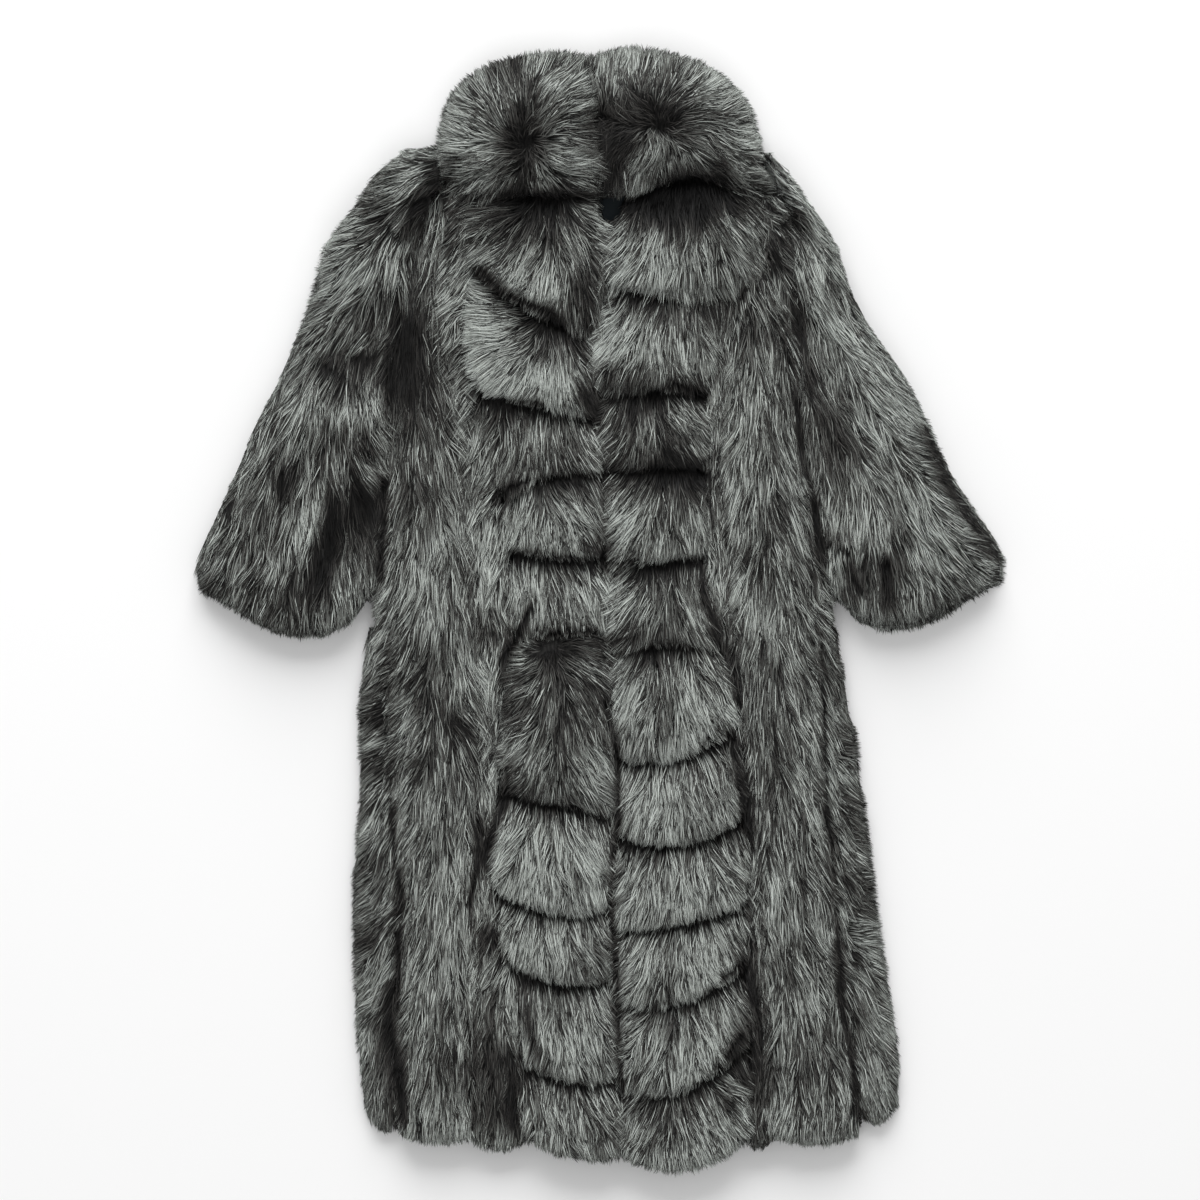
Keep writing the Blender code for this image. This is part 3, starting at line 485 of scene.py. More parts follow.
        (-216, 545, -85, 6), (-240, 533, -80, 7), (-258, 515, -85, 4), (-228, 515, -75, 8),
        (-204, 533, -60, 4), (-240, 497, -60, 7), (-276, 497, -90, 4), (-210, 497, -40, 1),
        (-270, 473, -80, 2), (-300, 461, -78, 6), (-240, 473, -45, 6), (-222, 473, -10, 1),
        (-312, 443, -72, 7), (-276, 443, -60, 5), (-336, 425, -85, 7), (-306, 422, -62, 7),
        (-246, 437, 0, 6), (-234, 419, 10, 6), (-222, 407, 10, 4), (-264, 413, -25, 6),
        (-288, 401, -48, 8), (-318, 395, -60, 7), (-336, 377, -75, 5), (-246, 395, 3, 6),
        (-300, 371, -40, 5), (-336, 353, -60, 6), (-258, 371, -10, 3), (-312, 341, -35, 4),
        (-294, 329, -8, 4), (-342, 323, -50, 5), (-318, 317, -25, 4), (-270, 341, -40, 3),
        (-264, 317, -30, 4), (-360, 293, -45, 5), (-330, 293, -25, 2), (-306, 287, -15, 2),
        (-282, 293, 10, 1), (-270, 275, 10, 3), (-378, 263, -38, 6), (-348, 269, -20, 5),
        (-318, 263, -12, 3), (-294, 257, 0, 4), (-360, 239, -22, 6), (-336, 233, -8, 6),
        (-306, 233, 0, 8), (-282, 233, 5, 7), (-264, 215, 40, 5), (-402, 233, -38, 5),
        (-384, 221, -20, 5), (-360, 203, -18, 4), (-330, 203, -5, 3), (-300, 203, 25, 3),
        (-276, 191, 40, 2), (-260, 173, 50, 6), (-276, 161, 35, 6), (-402, 191, -28, 5),
        (-378, 173, -20, 4), (-360, 167, -22, 2), (-336, 173, 0, 3), (-306, 173, 10, 4),
        (-378, 143, -12, 1), (-402, 149, -18, 5), (-426, 155, -35, 5), (-348, 143, 0, 6),
        (-318, 149, 5, 5), (-438, 125, -28, 4), (-408, 119, -12, 3), (-378, 113, -8, 4),
        (-354, 107, 0, 9), (-336, 113, 0, 8), (-318, 119, 0, 1), (-288, 131, 20, 1),
        (-270, 113, 10, 0), (-318, 89, -5, 0), (-330, 59, -8, 0), (-288, 77, 12, 3), (-294, 59, 0, 4),
        (-274, 47, 10, 5), (-444, 89, -25, 4), (-414, 83, -15, 4), (-384, 77, -10, 4),
        (-360, 77, -5, 7), (-462, 59, -35, 5), (-432, 53, -25, 4), (-396, 53, -30, 7),
        (-420, 35, -20, 2), (-372, 47, -10, 4), (-462, 29, -40, 3), (-432, 21, -30, 5),
        (-408, 5, -15, 4), (-372, 17, -5, 2), (-348, 23, -5, 1), (-336, 41, -10, 0), (-306, 35, 0, 5),
        (-312, 5, 0, 6), (-282, 23, 5, 4), (-396, -13, -15, 4), (-360, -13, 0, 3), (-336, -19, 0, 5),
        (-306, -13, 10, 5), (-225, 549, -100, 6), (-204, 554, -118, 6), (-249, 539, -96, 6),
        (-234, 544, -105, 7),
    ],
    "sleeve_l": [
        (240, 461, 10, 2), (228, 449, 0, 1), (264, 455, 50, 6), (282, 443, 50, 6), (226, 425, -5, 7),
        (246, 419, 20, 5), (270, 413, 35, 6), (288, 407, 40, 6), (228, 395, 0, 6), (252, 389, 15, 6),
        (282, 383, 30, 5), (306, 371, 45, 3), (230, 365, 5, 3), (240, 347, 5, 1), (258, 353, 20, 6),
        (288, 347, 35, 7), (318, 341, 50, 5), (238, 323, 5, 0), (258, 317, 25, 6), (282, 317, 28, 7),
        (312, 317, 40, 7), (336, 311, 50, 5), (234, 287, 0, 1), (252, 287, 10, 1), (270, 287, 22, 4),
        (300, 281, 30, 6), (336, 281, 42, 6), (360, 269, 50, 5), (240, 251, -5, 4), (258, 257, 10, 1),
        (282, 251, 30, 2), (312, 251, 35, 5), (348, 245, 42, 6), (374, 239, 70, 7), (242, 215, -8, 4),
        (264, 215, 0, 1), (288, 209, 30, 1), (318, 215, 35, 6), (354, 203, 40, 5), (378, 203, 75, 6),
        (396, 191, 70, 3), (246, 179, -5, 4), (264, 179, 0, 3), (286, 179, 5, 1), (306, 185, 28, 2),
        (330, 173, 30, 5), (366, 173, 45, 4), (390, 167, 60, 6), (414, 155, 50, 3), (254, 155, 0, 4),
        (276, 143, -5, 4), (288, 149, 3, 2), (312, 143, 8, 4), (342, 143, 15, 5), (372, 137, 30, 5),
        (402, 125, 60, 7), (432, 119, 55, 4), (270, 113, -8, 6), (294, 113, -5, 5), (324, 107, 3, 5),
        (348, 113, 5, 3), (372, 107, 20, 5), (402, 95, 50, 6), (438, 95, 65, 7), (462, 83, 55, 3),
        (276, 83, 0, 3), (306, 77, 0, 5), (336, 77, 5, 7), (360, 83, 20, 3), (390, 71, 30, 6),
        (426, 65, 60, 5), (462, 53, 75, 5), (282, 59, 0, 7), (300, 47, 10, 2), (324, 53, 0, 3),
        (342, 50, 0, 0), (366, 47, 25, 2), (390, 41, 20, 6), (420, 35, 40, 4), (450, 29, 60, 5),
        (276, 29, -5, 7), (300, 23, 15, 1), (324, 23, 0, 3), (344, 17, 0, 1), (366, 17, 22, 3),
        (396, 17, 20, 5), (426, 11, 25, 3), (444, 5, 30, 3), (318, -7, 0, 4), (342, -13, 3, 5),
        (366, -7, 10, 4), (396, -3, 20, 3), (348, -25, 5, 5), (206, 533, 58, 6), (222, 521, 58, 7),
        (214, 503, 75, 7), (230, 497, 70, 7), (206, 485, 60, 6), (223, 484, 65, 7), (241, 484, 55, 6),
        (228, 465, 45, 0), (202, 544, 30, 6), (216, 542, 35, 6),
    ],
    "back": [(0, 500, 0, 3), (-200, 0, -10, 3), (200, 0, 10, 3), (0, -600, 0, 3)],
}

# each parting or crease: from and to (mm), half its width (mm), how dark it is; the darkness is partly
# the dark roots that show where the fur parts and partly painted shade in the creases between pieces,
# and some wide rows paint the shade under the collar's roll
creasesAndShade = [
    (-144, 405, -120, 381, 7.2, 1), (-120, 381, -66, 357, 6.2, 1), (-66, 357, -48, 338, 8.6, 1),
    (-124, 249, -72, 247, 5.4, 1), (-72, 247, -24, 249, 2.6, 0.6), (-20, 257, 0, 233, 9, 0.8),
    (-120, 131, -106, 148, 7.3, 0.8), (-106, 148, -84, 160, 3.6, 0.6), (-72, 160, -30, 158, 4.6, 0.7),
    (-30, 163, 4, 160, 2.6, 0.6), (-108, 68, -36, 64, 4.6, 1), (-36, 64, -4, 64, 3.6, 0.6),
    (-84, -33, -48, -27, 3.6, 1), (-48, -25, -4, -25, 4.6, 1), (-82, 5, -96, -27, 4.2, 1),
    (-96, -27, -116, -58, 5.8, 1), (-116, -58, -120, -97, 4.2, 0.6),
    (-110, -187, -110, -211, 7.3, 0.5), (-114, -217, -72, -229, 3.6, 0.5),
    (-72, -229, -30, -236, 4.6, 0.6), (-30, -238, 20, -248, 3.6, 0.5),
    (-114, -223, -134, -283, 5.8, 1), (-134, -283, -139, -313, 5.8, 0.9),
    (-120, -346, -48, -356, 3.6, 0.5), (-48, -356, 0, -349, 2.6, 0.3),
    (-90, -440, -42, -448, 4.1, 0.6), (-42, -448, 0, -445, 3.6, 0.4), (-90, -442, -89, -487, 5.8, 0.6),
    (-89, -487, -82, -514, 7.3, 0.6), (-82, -514, -66, -555, 9, 0.6), (-66, -555, -24, -566, 3.6, 0.5),
    (-103, -567, -106, -613, 9, 0.6), (-106, -613, -96, -637, 9, 0.5),
    (-124, -391, -120, -421, 5.8, 0.5), (-120, -421, -96, -439, 3.6, 0.4), (66, 485, 120, 485, 8.2, 1),
    (90, 515, 150, 515, 6.2, 1), (24, 383, 60, 381, 2.6, 0.6), (60, 379, 120, 374, 2.6, 0.5),
    (0, 285, 48, 278, 4.6, 0.4), (66, 261, 90, 268, 6.2, 0.9), (90, 268, 126, 254, 7.2, 1),
    (6, 167, 48, 165, 3.6, 0.5), (60, 173, 96, 161, 5.4, 0.7), (100, 165, 130, 161, 8.2, 1),
    (10, 57, 48, 62, 3.6, 0.6), (54, 57, 96, 57, 2.6, 0.6), (96, 57, 118, 59, 4.6, 1),
    (12, -37, 48, -27, 2.6, 0.5), (48, -37, 120, -37, 2.6, 0.4), (120, 29, 138, -19, 5.8, 0.8),
    (138, -19, 140, -37, 5.8, 0.9), (24, -171, 72, -171, 2.6, 0.2), (72, -166, 120, -163, 2.2, 0.3),
    (120, -161, 156, -142, 5.4, 0.5), (158, -49, 164, -109, 5.8, 0.7),
    (156, -151, 170, -205, 7.3, 0.6), (170, -205, 178, -265, 7.3, 0.9), (26, -272, 60, -279, 3.6, 0.5),
    (60, -279, 120, -277, 2.6, 0.4), (120, -274, 168, -260, 4.6, 0.3), (30, -380, 72, -380, 2.6, 0.4),
    (72, -380, 120, -370, 3.6, 0.6), (120, -370, 156, -361, 5.4, 0.6),
    (154, -343, 170, -325, 8.6, 0.4), (36, -466, 96, -469, 2.6, 0.1), (120, -461, 150, -439, 3.6, 0.5),
    (150, -439, 174, -427, 7.2, 0.8), (174, -421, 186, -469, 8.6, 0.6),
    (170, -511, 156, -535, 8.6, 0.8), (108, -569, 138, -550, 3.6, 0.6),
    (138, -550, 162, -538, 7.2, 0.6), (162, -538, 174, -565, 8.6, 0.7),
    (156, -583, 154, -601, 7.3, 0.5), (6, 155, 6, 65, 3.1, 0.5), (6, 65, 2, 47, 5.8, 0.7),
    (-2, -37, 2, -61, 4.2, 0.7), (6, -109, 18, -163, 3.8, 0.8), (20, -163, 23, -253, 4.2, 0.8),
    (23, -253, 13, -303, 4.2, 0.8), (14, -313, 14, -355, 3.8, 0.8), (14, -355, 22, -457, 4.2, 0.8),
    (20, -457, 26, -571, 4.2, 0.8), (-18, 659, -12, 611, 2.6, 0.5), (-12, 611, -5, 551, 2.6, 0.5),
    (-114, 497, -66, 495, 7.2, 0.9), (-66, 499, -18, 491, 4.6, 0.7), (-192, 533, -182, 509, 3.6, 0.8),
    (-186, 497, -182, 473, 3.6, 0.5), (-240, 449, -216, 407, 2.6, 0.6),
    (-258, 473, -240, 449, 3.6, 0.6), (-225, 485, -210, 491, 7.2, 0.9),
    (-225, 473, -230, 449, 3.6, 0.6), (-252, 305, -254, 227, 4.2, 0.6),
    (-258, 155, -264, 107, 7.3, 0.8), (-260, 107, -264, 35, 5.8, 0.8), (210, 431, 206, 401, 3.6, 0.8),
    (234, 365, 242, 323, 9, 0.8), (236, 251, 242, 185, 4.2, 0.9), (242, 185, 254, 143, 3.5, 0.6),
    (257, 131, 263, 77, 5.8, 1), (263, 77, 264, 59, 5.8, 0.9), (-165, 203, -165, 131, 2.6, 0.4),
    (-144, -253, -146, -301, 5.8, 0.8), (-146, -301, -156, -349, 4.2, 0.9),
    (-156, -349, -156, -379, 3.5, 0.7), (-151, -469, -150, -625, 3.5, 0.6),
    (-249, -241, -246, -301, 4.2, 0.7), (-242, -313, -237, -361, 7.3, 0.7),
    (-241, -385, -243, -451, 4.2, 0.9), (-252, -457, -254, -505, 9, 0.9),
    (-254, -505, -242, -553, 9, 0.9), (-242, -553, -237, -613, 7.3, 1),
    (271, -241, 278, -277, 4.2, 0.7), (286, -403, 290, -469, 5.8, 0.9),
    (290, -469, 298, -517, 4.2, 0.8), (298, -517, 308, -577, 3.5, 0.8), (152, 23, 154, -49, 3.5, 0.4),
    (178, -445, 194, -493, 4.2, 0.5), (198, -481, 204, -589, 2.6, 0.5),
    (-380, 167, -383, 128, 4.2, 0.9), (-318, 131, -330, 59, 9, 0.9), (-330, 59, -338, 23, 7.3, 0.9),
    (-300, 143, -270, 107, 9, 0.8), (-330, 293, -306, 281, 7.2, 0.6), (-290, 305, -266, 309, 3.6, 0.7),
    (-288, 194, -274, 189, 2.6, 0.6), (304, 371, 314, 359, 3.6, 0.5), (264, 83, 300, 74, 3.6, 0.6),
    (340, 89, 366, 93, 2.6, 0.6), (292, 53, 314, 21, 5.8, 0.7), (342, 57, 346, 11, 7.3, 0.8),
    (392, 215, 414, 155, 4.2, 0.7), (414, 155, 450, 95, 4.2, 0.7), (450, 95, 480, 59, 5.8, 0.5),
    (-234, 329, -234, 261, 20.4, 0.6), (0, 590, 14, 515, 14.4, 0.4), (48, 575, 48, 527, 12, 0.2),
    (60, 508, 138, 515, 14.4, 0.4), (0, 155, 1, 59, 3.8, 0.2), (-108, 569, -96, 533, 12, 0.2),
    (-294, 167, -274, 59, 12, 0.4), (-324, 125, -324, 59, 9.6, 0.5),
    (-134, -469, -130, -613, 15.6, 0.6), (180, -451, 188, -595, 13.2, 0.5),
    (-139, -385, -144, -451, 9.6, 0.4), (66, 489, 130, 487, 12, 0.8), (220, 460, 234, 471, 7.2, 0.8),
    (264, -37, 271, -241, 4.8, 0.5), (278, -277, 286, -403, 4.8, 0.5),
    (308, -577, 314, -625, 4.8, 0.6), (-254, -37, -249, -241, 4.8, 0.5),
    (-243, -451, -242, -481, 4.8, 0.6), (152, 371, 146, 155, 3.6, 0.3), (146, 155, 152, 23, 3.6, 0.3),
    (-165, 131, -149, -37, 3.6, 0.3), (-149, -37, -146, -253, 3.6, 0.3),
]

bareSpots = [(12, 480, 18, 15)]  # across, up, half sizes (mm): the neck opening stays clear of hair


def unit(rows):
    return rows / np.maximum(np.linalg.norm(rows, axis=1, keepdims=True), 1e-9)


def turned(ways, angle):
    c, s = np.cos(angle), np.sin(angle)
    return np.stack([ways[:, 0] * c - ways[:, 1] * s, ways[:, 0] * s + ways[:, 1] * c], 1)


def across(ways):
    # a quarter turn to the left of each way
    return np.stack([-ways[:, 1], ways[:, 0]], 1)


class Groom:
    near = 0.008                 # metres, below which guides blend
    toneNear = 0.6 * near
    broad = 0.021                # how far round an eye of a whorl the fur is unsettled
    lieFalloff, toneFalloff = 1.6, 2.2
    unsettled, settling = 0.25, 0.5

    def __init__(self, rows):
        table = np.array(rows, float)
        self.spots = table[:, :2] / 1000
        turn = np.radians(table[:, 2])
        self.ways = np.stack([np.sin(turn), -np.cos(turn)], 1)
        self.silver = table[:, 3] / 9

    def gap(self, xy):
        return ((xy[:, None] - self.spots) ** 2).sum(2)

    def lie(self, xy):
        share = (self.gap(xy) + self.near ** 2) ** -self.lieFalloff
        return unit(share @ self.ways)

    def tone(self, xy):
        share = (self.gap(xy) + self.toneNear ** 2) ** -self.toneFalloff
        return share @ self.silver / share.sum(1)

    def calm(self, xy):
        # 1 where the fur near by lies one way, 0 in the eye of a whorl
        share = np.exp(-self.gap(xy) / (2 * self.broad ** 2)) + 1e-9
        even = np.linalg.norm(share @ self.ways, axis=1) / share.sum(1)
        return np.clip((even - self.unsettled) / self.settling, 0.0, 1.0)


# the solids as height maps
class Form:
    cell = 0.002
    margin = 3                   # empty cells round the map
    blurs = 3
    topFace, wallFace, footFace = 0.15, 0.5, -0.9   # how far up a face of each kind looks

    def __init__(self, name):
        mesh = frame["nodes"][name].data
        points = np.zeros(len(mesh.vertices) * 3)
        mesh.vertices.foreach_get("co", points)
        corners = np.zeros(len(mesh.polygons) * 3, int)
        mesh.polygons.foreach_get("vertices", corners)
        self.faces = points.reshape(-1, 3)[corners.reshape(-1, 3)]
        cross = np.cross(self.faces[:, 1] - self.faces[:, 0], self.faces[:, 2] - self.faces[:, 0])
        self.area = np.linalg.norm(cross, axis=1) / 2
        self.normals = cross / np.maximum(self.area[:, None] * 2, 1e-12)
        self.high = self.faces.reshape(-1, 3).max(0)
        self.corner = self.faces.reshape(-1, 3).min(0)[:2] - self.margin * self.cell
        size = np.ceil((self.high[:2] - self.corner) / self.cell).astype(int) + self.margin + 1
        self.heights = np.full(size, -1.0)
        for face in self.faces[self.normals[:, 2] > 0.02]:
            self.fill(face)
        for _ in range(self.blurs):
            self.soften()

    def fill(self, face):
        # the height of one triangle, in the cells whose middles it covers
        flat = (face[:, :2] - self.corner) / self.cell
        low = np.floor(flat.min(0)).astype(int)
        high = np.ceil(flat.max(0)).astype(int) + 1
        xs, ys = np.meshgrid(np.arange(low[0], high[0]), np.arange(low[1], high[1]), indexing="ij")
        a, b, c = flat
        whole = (b[0] - a[0]) * (c[1] - a[1]) - (c[0] - a[0]) * (b[1] - a[1])
        if abs(whole) < 1e-9:
            return
        px, py = xs + 0.5, ys + 0.5
        wb = ((px - a[0]) * (c[1] - a[1]) - (c[0] - a[0]) * (py - a[1])) / whole
        wc = ((b[0] - a[0]) * (py - a[1]) - (px - a[0]) * (b[1] - a[1])) / whole
        inside = (wb >= -1e-6) & (wc >= -1e-6) & (wb + wc <= 1 + 1e-6)
        z = face[0, 2] + wb * (face[1, 2] - face[0, 2]) + wc * (face[2, 2] - face[0, 2])
        self.heights[xs[inside], ys[inside]] = z[inside]

    def soften(self):
        # a light blur inside the outline rounds the facets off
        solid = self.heights >= 0
        total = np.zeros_like(self.heights)
        count = np.zeros_like(self.heights)
        for dx, dy in ((0, 0), (1, 0), (-1, 0), (0, 1), (0, -1)):
            moved = np.roll(self.heights, (dx, dy), (0, 1))
            there = moved >= 0
            total += np.where(there, moved, 0)
            count += there
        self.heights = np.where(solid, total / np.maximum(count, 1), -1.0)

    def height(self, xy):
        # the surface over each spot, -1 beside the piece
        spot = ((xy - self.corner) / self.cell).astype(int)
        spot = np.clip(spot, 0, np.array(self.heights.shape) - 1)
        return self.heights[spot[:, 0], spot[:, 1]]

    def topPoints(self, count):
        return self.pick(np.flatnonzero(self.normals[:, 2] > self.topFace), count)

    def wallPoints(self, count):
        return self.pick(np.flatnonzero(np.abs(self.normals[:, 2]) < self.wallFace), count)

    def footPoints(self, count):
        return self.pick(np.flatnonzero(self.normals[:, 2] < self.footFace), count)

    def topArea(self):
        return self.area[self.normals[:, 2] > self.topFace].sum()

    def pick(self, chosen, count):
        share = self.area[chosen] / self.area[chosen].sum()
        face = chosen[rng.choice(len(chosen), count, p=share)]
        a, b = rng.random(count), rng.random(count)
        over = a + b > 1
        a[over], b[over] = 1 - a[over], 1 - b[over]
        corner = self.faces[face]
        spot = corner[:, 0] + a[:, None] * (corner[:, 1] - corner[:, 0])
        return spot + b[:, None] * (corner[:, 2] - corner[:, 0]), self.normals[face]


class Coat:
    # all pieces together: the highest surface over each spot
    cell = 0.002
    margin = 8                   # empty cells on the far sides

    def __init__(self):
        self.corner = np.min([form.corner for form in forms.values()], 0)
        far = np.max([form.high[:2] for form in forms.values()], 0)
        size = np.ceil((far - self.corner) / self.cell).astype(int) + self.margin
        self.heights = np.full(size, -1.0)
        for form in forms.values():
            i, j = np.nonzero(form.heights >= 0)
            spots = form.corner + (np.column_stack([i, j]) + 0.5) * self.cell
            k = ((spots - self.corner) / self.cell).astype(int)
            np.maximum.at(self.heights, (k[:, 0], k[:, 1]), form.heights[i, j])

    def height(self, xy):
        spot = ((xy - self.corner) / self.cell).astype(int)
        inside = ((spot >= 0) & (spot < self.heights.shape)).all(1)
        spot = np.clip(spot, 0, np.array(self.heights.shape) - 1)
        return np.where(inside, self.heights[spot[:, 0], spot[:, 1]], -1.0)


class PartingShadeMaps:
    # how dark the fur is where it parts, from its dark roots and from painted crease shade: lines across
    # the coat, lines along it, and the narrow lines of both kinds that no hair runs over
    cell = 0.001
    narrow = 9                   # mm, half the width of the widest line that stops hair
    reach = 3                    # half widths, past which a line no longer tells

    def __init__(self):
        self.corner = coat.corner
        self.size = (np.array(coat.heights.shape) * coat.cell / self.cell).astype(int)
        self.across, self.upright, self.lines = [np.ones(self.size) for _ in range(3)]
        for x0, y0, x1, y1, half, dark in creasesAndShade:
            self.draw(np.array([x0, y0]) / 1000, np.array([x1, y1]) / 1000, half / 1000, dark)

    def draw(self, a, b, wide, dark):
        far = self.reach * wide
        first = ((np.minimum(a, b) - far - self.corner) / self.cell).astype(int)
        last = ((np.maximum(a, b) + far - self.corner) / self.cell).astype(int) + 1
        first, last = np.maximum(first, 0), np.minimum(last, self.size)
        i, j = np.meshgrid(np.arange(first[0], last[0]), np.arange(first[1], last[1]), indexing="ij")
        xy = self.corner + (np.stack([i, j], 2) + 0.5) * self.cell
        along = b - a
        place = np.clip((xy - a) @ along / (along @ along), 0, 1)
        off = np.linalg.norm(xy - a - place[..., None] * along, axis=2)
        shade = 1 - dark * np.exp(-(off / wide) ** 2)
        kind = self.across if abs(along[0]) > abs(along[1]) else self.upright
        kind[i, j] *= shade
        if wide * 1000 < self.narrow:
            self.lines[i, j] *= shade

    def cellsAt(self, xy):
        cells = ((xy - self.corner) / self.cell).astype(int)
        cells = np.clip(cells, 0, self.size - 1)
        return cells[:, 0], cells[:, 1]

    def shade(self, xy, level=1.0):
        # level below 1 weakens the partings that run across the coat
        cells = self.cellsAt(xy)
        return self.across[cells] ** level * self.upright[cells]

    def line(self, xy):
        return self.lines[self.cellsAt(xy)]


forms = {name: Form(name) for name in frame["nodes"]}
coat = Coat()
partingShade = PartingShadeMaps()
print("height maps made")


# soft random fields over the coat
def waves(length, count, seed):
    source = np.random.default_rng(seed)
    angle = source.random(count) * 2 * math.pi
    size = 2 * math.pi / length * (0.6 + 0.8 * source.random(count))
    phase = source.random(count) * 2 * math.pi
    ways = np.stack([np.cos(angle) * size, np.sin(angle) * size], 1)
    return lambda xy: np.sin(xy @ ways.T + phase).sum(1) / math.sqrt(count / 2)


lieWander = waves(0.045, 9, 3)       # how the lie of the fur turns
toneStreak = waves(0.022, 12, 5)     # small lighter and darker patches


def tuftsAt(xy, spacing, seed):
    # nearest of a jittered grid of tuft centres, with four random numbers for each tuft
    source = np.random.default_rng(seed)
    side = 256
    jitter = source.random((side, side, 2))
    traits = source.random((side, side, 4))
    cell = np.floor(xy / spacing).astype(int)
    best = np.full(len(xy), 1e9)
    centre = np.zeros_like(xy)
    trait = np.zeros((len(xy), 4))
    for dx in (-1, 0, 1):
        for dy in (-1, 0, 1):
            near = cell + (dx, dy)
            i, j = near[:, 0] % side, near[:, 1] % side
            middle = (near + jitter[i, j]) * spacing
            far = ((xy - middle) ** 2).sum(1)
            closer = far < best
            best = np.where(closer, far, best)
            centre[closer] = middle[closer]
            trait[closer] = traits[i, j][closer]
    return centre, trait


# strands
strand = {
    "toneWidth": 0.004,          # how far apart the two sides of a hair lie on the colour map
    "bendAlong": 0.50, "tipAlong": 0.98,
    "width": (0.65, 0.7),        # shares of the width that a layer gives
    "lowest": {"root": 0.001, "mid": 0.0015, "tip": 0.001},
}


def strandMesh(name, roots, mids, tips, width, tone, tipTone, start, up):
    # each hair is two long triangles that meet across its bend
    count = len(roots)
    side = unit(np.cross(tips - roots, up)) * (width / 2)[:, None]
    points = np.stack([roots, mids - side, mids + side, tips], 1).reshape(-1, 3)
    first = np.arange(count)[:, None] * 4
    loops = (first + np.array([0, 2, 1, 1, 2, 3])).reshape(-1)
    mesh = bpy.data.meshes.new(name)
    mesh.vertices.add(len(points))
    mesh.vertices.foreach_set("co", points.reshape(-1).astype(np.float32))
    mesh.loops.add(len(loops))
    mesh.loops.foreach_set("vertex_index", loops.astype(np.int32))
    mesh.polygons.add(count * 2)
    starts = np.arange(count * 2) * 3
    mesh.polygons.foreach_set("loop_start", starts.astype(np.int32))
    own = mesh.uv_layers.new(name="OFBake", do_init=False)
    thin, bend = strand["toneWidth"], strand["bendAlong"]
    low, high = np.clip(tone, 0.01, 0.99), np.clip(tipTone, 0.01, 0.99)
    u = np.stack([low, low + thin, low - thin, low - thin, low + thin, high], 1)
    v = np.tile([0.0, bend, bend, bend, bend, strand["tipAlong"]], (count, 1))
    v[:, 0] = start
    own.data.foreach_set("uv", np.stack([u, v], 2).reshape(-1).astype(np.float32))
    mesh.update(calc_edges=True)
    mesh.validate()
    mesh.shade_smooth()
    return mesh


def spread(span, count):
    # a number for each hair: span holds the least, and how much more it may be
    return span[0] + span[1] * rng.random(count)


def raised(xy, z, part):
    # clear of the surface that the coat lies on
    return np.column_stack([xy, np.maximum(z, strand["lowest"][part])])


def isBare(xy):
    bare = np.zeros(len(xy), bool)
    for x, y, wide, high in bareSpots:
        bare |= ((xy * 1000 - (x, y)) ** 2 / (wide ** 2, high ** 2)).sum(1) < 1
    return bare


def hasHair(form, xy):
    return (form.height(xy) >= 0) & ~isBare(xy)


tonePlan = {
    "even": 0.45,                # contrast of the darkest fur, and how much more silver fur has
    "uneven": 0.85,
    # the deepest parting, with its painted crease shade, leaves this share of the tone
    "deepest": 0.10,             # what a parting leaves of the tone
    "eye": 0.35,                 # share of its contrast that a whorl's eye keeps
    # a hair deeper than this gets painted shade, one higher painted light
    "depth": 0.4,                # how deep a hair lies whose tone stays as it is
    # painted shade at the sides of a lock and painted light in its middle are balanced by this, so that
    # a lock keeps its own mean tone
    "lockRimShade": 0.33,             # brings the mean of a lock back to its own tone
}


def toned(groom, xy, plan, extra, shift=0.0, partingShadeLevel=1.0):
    # dark fur is more even than silver fur
    tone = groom.tone(xy)
    base = plan["dark"] + (plan["silver"] - plan["dark"]) * tone + shift
    contrast = tonePlan["even"] + tonePlan["uneven"] * tone
    base = base + (extra + plan["patch"] * toneStreak(xy)) * contrast
    # the partings darken the tone: dark roots where the fur parts, and painted shade in the creases
    return base * (tonePlan["deepest"] + (1 - tonePlan["deepest"]) * partingShade.shade(xy, partingShadeLevel))


def rimmed(aside, spacing):
    # 0 in the middle of a tuft or lock, 1 at its side
    return np.clip(aside / (0.5 * spacing), 0, 1) ** 2


def gathered(lie, turn, tuftWay, plan):
    # each hair's own way, drawn towards that of its tuft
    return unit(turned(lie, turn) * (1 - plan["gather"]) + tuftWay * plan["gather"])


